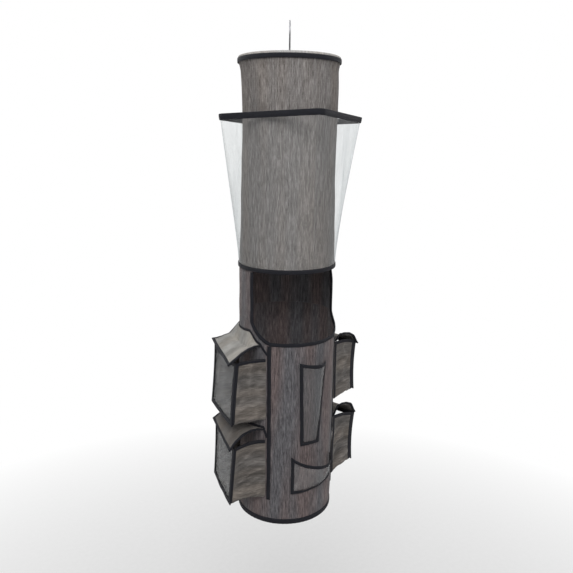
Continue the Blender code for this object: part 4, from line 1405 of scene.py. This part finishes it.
def make_face(spec):
    surface = partial(face_point, spec)
    name = "pocket_" + spec.name
    rows = [[surface(u, v) for u in spread(-1, 1, steps=30)] for v in spread(0, 1, steps=28)]
    film = hang_film(name + "_face_film", name + "_face", rows, "crinkled")
    spots = loop_spots(1, 0, 1, TAPE_WIDTH / POCKET_FACE_HALF, TAPE_WIDTH / POCKET_HEIGHT,
                       u_steps=26, v_steps=24)
    tape = folded_tape(name + "_face_tape", stations_on(surface, spots), FILM_HALF_GAP,
                       TAPE_WIDTH, closed=True, seed=spec.seed + 1)
    hang(tape, "black_binding", name + "_face_binding")


# Lids

LID_EDGE_POWER = 3
LID_RIPPLE = 0.003
LID_WRINKLE = (0.026, 0.034)
# Gain and share of the painted shade and highlight that the lid's wrinkles put into its colour
LID_SHADE_GAIN = 1.6
LID_SHADE_SHARE = 0.5
LID_EDGE_TAPE = 0.0058
LID_TAPE_WALL_SHARE = 0.96
LID_TAPE_FOLD_SHARE = 0.06
WALL_RISE_REACH_SHARE = 0.5
BLEND_REACH = 0.006


def lid_matrix(spec):
    out = on_ring(spec.azimuth, LID_FOLD_REACH, spec.mouth + FOLD_HEIGHT)
    turn = Matrix.Rotation(radians(spec.azimuth), 4, "Z")
    tilt = Matrix.Rotation(radians(LID_SLOPE), 4, "X")
    return Matrix.Translation(out) @ turn @ tilt


# Where a lid's cloth meets the tube: its place along the pocket and its height
# over the mouth
def wall_reach(spec, share):
    return spec.wall_halves[0 if share < 0 else 1] * share


def wall_lift(share):
    return WALL_GAP + FABRIC * blend_of(sin(radians(LID_SLOPE)), 1.0, abs(share) ** 4)


def wall_y(spec, share):
    return -sqrt((TUBE_RADIUS + wall_lift(share)) ** 2 - wall_reach(spec, share) ** 2)


def wall_height(spec, share):
    side = share if spec.azimuth < 0 else -share
    rise = spec.wall_rise * ease((1 - side) / WALL_RISE_REACH_SHARE)
    flat = FOLD_HEIGHT + (wall_y(spec, share) + LID_FOLD_REACH) * tan(radians(LID_SLOPE))
    return flat + rise + lid_height(spec, share, 0.0)


# The lid's cloth in one piece: along runs from -1 at the tube's wall to 0 at the
# fold and 1 at the tip
def lid_point(spec, share, along):
    yoke_length = (LID_FOLD_REACH + wall_y(spec, share)) / cos(radians(LID_SLOPE))
    matrix = lid_matrix(spec)
    if along < 0:
        wall = wall_point(spec, wall_reach(spec, share), wall_height(spec, share),
                          wall_lift(share))
        wall.z -= lid_height(spec, share, 0.0)
        point = (matrix @ Vector((LID_ROOT_HALF * share, 0, 0))).lerp(wall, -along)
        place = yoke_length * (1 + along)
    else:
        half = blend_of(LID_ROOT_HALF, LID_TIP_HALF, along)
        length = LID_LENGTH + spec.slant * share
        point = matrix @ Vector((half * share, -length * along, 0))
        place = yoke_length + LID_LENGTH * along
    travel = clamp(place / (yoke_length + LID_LENGTH))
    return point + Vector((0, 0, lid_height(spec, share, travel)))


def lid_wrinkle(spec, share, travel):
    return wrinkle(share * LID_TIP_HALF, travel * LID_LENGTH, LID_WRINKLE, spec.seed + 2)


# Height of a lid's cloth over its flat slope. The travel runs from 0 at the wall
# to 1 at the tip.
def lid_height(spec, share, travel):
    first_edge, middle, last_edge = spec.heights
    edge = first_edge if share < 0 else last_edge
    place = travel * (len(middle) - 1)
    first = min(int(place), len(middle) - 2)
    step = ease_soft(place - first)
    at_edge = blend_of(edge[first], edge[first + 1], step)
    at_middle = blend_of(middle[first], middle[first + 1], step)
    rippled = lid_wrinkle(spec, share, travel) * LID_RIPPLE * sin(pi * travel)
    return blend_of(at_middle, at_edge, abs(share) ** LID_EDGE_POWER) + rippled


# The tape's spots down one edge of a lid, along its tip and up the other edge
def lid_edge_spots():
    side = spread(-LID_TAPE_WALL_SHARE, -LID_TAPE_FOLD_SHARE, steps=9)
    side += spread(0.0, 1 - LID_EDGE_TAPE / LID_LENGTH, steps=12)
    corner = LID_EDGE_TAPE / LID_TIP_HALF
    spots = [(1, along, -1, 0) for along in side] + [(1, 1, -1, -1)]
    spots += [(share, 1, 0, -1) for share in spread(1 - corner, corner - 1, steps=28)]
    return spots + [(-1, 1, 1, -1)] + [(-1, along, 1, 0) for along in reversed(side)]


def make_lid(spec):
    surface = partial(lid_point, spec)
    name = "lid_" + spec.name
    shares = spread(-1, 1, steps=48)
    alongs = spread(-1, 0, steps=12)[:-1] + spread(0, 1, steps=18)
    rows = [[surface(share, along) for share in shares] for along in alongs]
    # Painted shade in the lid's wrinkle valleys and painted highlight on its crests
    creases = [LID_SHADE_SHARE * crease_shade_of(LID_SHADE_GAIN * lid_wrinkle(spec, share, along + 1))
               for along in alongs for share in shares]
    lid = sheet(name + "_cloth", rows, spec.cloth, FABRIC, creases=creases)
    hang(lid, "heather_fabric", "pocket_" + spec.name + "_lid_yoke", name, body=None)
    stations = stations_on(surface, lid_edge_spots(), lift=-FABRIC / 2)
    tape = folded_tape(name + "_tape", stations, CLOTH_HALF_GAP, LID_EDGE_TAPE,
                       seed=spec.seed + 3)
    hang(tape, "black_binding", name + "_binding", body=None)
    fold = lid_matrix(spec).to_translation()
    away = on_ring(spec.azimuth, BLEND_REACH, 0)
    for piece in (lid, tape):
        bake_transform(piece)
    depth = running_lengths([row[len(row) // 2] for row in rows])[-1]


# Hook

HOOK_SIDES = 20
HOOK_TIP_REACH_SHARES = (0.3, 0.6, 0.85, 1.0)
HOOK_TIP_RADIUS_SHARES = (0.97, 0.86, 0.62, 0.25)


def bend_step(angle):
    return Vector((STEM_BEND_RADIUS * (1 - cos(angle)), STEM_BEND_RADIUS * sin(angle)))


def hook_outline(stem_foot):
    radius = HOOK_INNER_RADIUS + WIRE_RADIUS
    centre = -HOOK_INNER_RADIUS
    lean = radians(HOOK_LEAN)
    bend = bend_step(lean)
    rise = (radius * cos(lean) - bend.x) / tan(lean)
    bend_start = centre - radius * sin(lean) - rise - bend.y
    points = [Vector((0, z)) for z in spread(stem_foot, bend_start, steps=12)[:-1]]
    points += [Vector((0, bend_start)) + bend_step(turn) for turn in spread(0, lean, steps=8)]
    for angle in spread(-lean, radians(HOOK_TIP_ANGLE), steps=54)[1:]:
        points.append(Vector((radius * cos(angle), centre + radius * sin(angle))))
    return points


def make_hook():
    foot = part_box("hook")[0]
    outline = hook_outline(foot.z)
    scales = [1.0] * len(outline) + list(HOOK_TIP_RADIUS_SHARES)
    last = (outline[-1] - outline[-2]).normalized()
    outline += [outline[-1] + last * WIRE_RADIUS * share for share in HOOK_TIP_REACH_SHARES]
    flat_normal = on_ring(HOOK_PLANE_AZIMUTH + 90, 1, 0)
    rings = []
    for i, (point, scale) in enumerate(zip(outline, scales)):
        before, after = neighbours(outline, i)
        run = (after - before).normalized()
        side = on_ring(HOOK_PLANE_AZIMUTH, run.y, -run.x)
        centre = on_ring(HOOK_PLANE_AZIMUTH, point.x, point.y)
        rings.append([centre + (side * cos(turn) + flat_normal * sin(turn)) * WIRE_RADIUS * scale
                      for turn in spread(0, 2 * pi, HOOK_SIDES)[:-1]])
    hook = sheet("hook_wire", rings, "steel", closed=True, capped=True)
    hang(hook, "plated_steel", "hook", body="swivel_hook")


def dress_cad_nodes():
    for name in ("hook_washer", "hook_cap", "swivel_eyelet", "skirt_wire_frame", "top_board",
                 "base_board"):
        for slot in bpy.data.objects[name].material_slots:
            slot.link = "OBJECT"
            slot.material = MATERIALS["board" if name.endswith("board") else "steel"]


# Floor, light and camera

FLOOR_Z = BASE_Z - 0.92
FLOOR_RADII = (0.0, 0.2, 0.6, 1.0, 1.6, 2.4, 4, 8, 16, 40)
FLOOR_STEPS = 72
WORLD_LIGHT = 0.28
LAMPS = (
    Spec(name="key", azimuth=-36, distance=1.7, z=1.0, size=1.1, power=31),
    Spec(name="fill", azimuth=-10, distance=2.5, z=0.6, size=2.0, power=17),
    Spec(name="right", azimuth=110, distance=2.6, z=0.7, size=1.8, power=16),
    Spec(name="back", azimuth=-165, distance=2.6, z=0.7, size=1.8, power=24),
)
LAMP_AIM_Z = -0.45
CAMERA_AZIMUTH = -32
CAMERA_DISTANCE = 1.48761
CAMERA_Z = -0.26216
CAMERA_PITCH = 13.0
CAMERA_ROLL = 0.7652
CAMERA_LENS = 39.17
CAMERA_SENSOR = 36.0
CAMERA_CLIP = 200


def make_floor():
    rows = [[on_ring(a, radius, FLOOR_Z) for a in around(FLOOR_STEPS)] for radius in FLOOR_RADII]
    sheet("floor", rows, "floor", closed=True, planar=True)


def make_world():
    world = bpy.data.worlds.new("studio")
    bpy.context.scene.world = world
    shader = Shader(world)
    background = shader.tree.nodes["Background"]
    level = shader.range(shader.seen(), WORLD_LIGHT, 1.0, 0.0, 1.0)
    shader.feed(background, "Strength", level)
    shader.feed(background, "Color", (1, 1, 1, 1))


def make_lamps():
    for spec in LAMPS:
        data = bpy.data.lights.new(spec.name, "AREA")
        data.shape = "SQUARE"
        data.size = spec.size
        data.energy = spec.power
        lamp = link(bpy.data.objects.new(spec.name, data))
        place = on_ring(spec.azimuth, spec.distance, spec.z)
        aim = (Vector((0, 0, LAMP_AIM_Z)) - place).to_track_quat("-Z", "Y")
        lamp.matrix_world = Matrix.Translation(place) @ aim.to_matrix().to_4x4()


def make_camera():
    data = bpy.data.cameras.new("camera")
    data.lens = CAMERA_LENS
    data.sensor_width = CAMERA_SENSOR
    data.clip_end = CAMERA_CLIP
    camera = link(bpy.data.objects.new("camera", data))
    place = on_ring(CAMERA_AZIMUTH, CAMERA_DISTANCE, CAMERA_Z)
    level = Vector((-place.x, -place.y, 0)).normalized()
    pitch = radians(CAMERA_PITCH)
    forward = level * cos(pitch) - Vector((0, 0, sin(pitch)))
    right = forward.cross(Vector((0, 0, 1))).normalized()
    up = right.cross(forward)
    roll = radians(CAMERA_ROLL)
    right, up = right * cos(roll) + up * sin(roll), up * cos(roll) - right * sin(roll)
    rotation = Matrix((right, up, -forward)).transposed().to_4x4()
    camera.matrix_world = Matrix.Translation(place) @ rotation
    bpy.context.scene.camera = camera


def main():
    bpy.context.scene.view_settings.view_transform = "Standard"
    make_camera()
    make_world()
    make_lamps()
    make_floor()
    make_top()
    make_tube()
    make_window_binding()
    make_seam_tapes()
    make_base()
    make_skirt()
    for spec in FLAT_POCKETS:
        make_flat_pocket(spec)
    for spec in POCKETS:
        make_gusset(spec)
        make_face(spec)
        make_lid(spec)
    make_hook()
    dress_cad_nodes()


main()
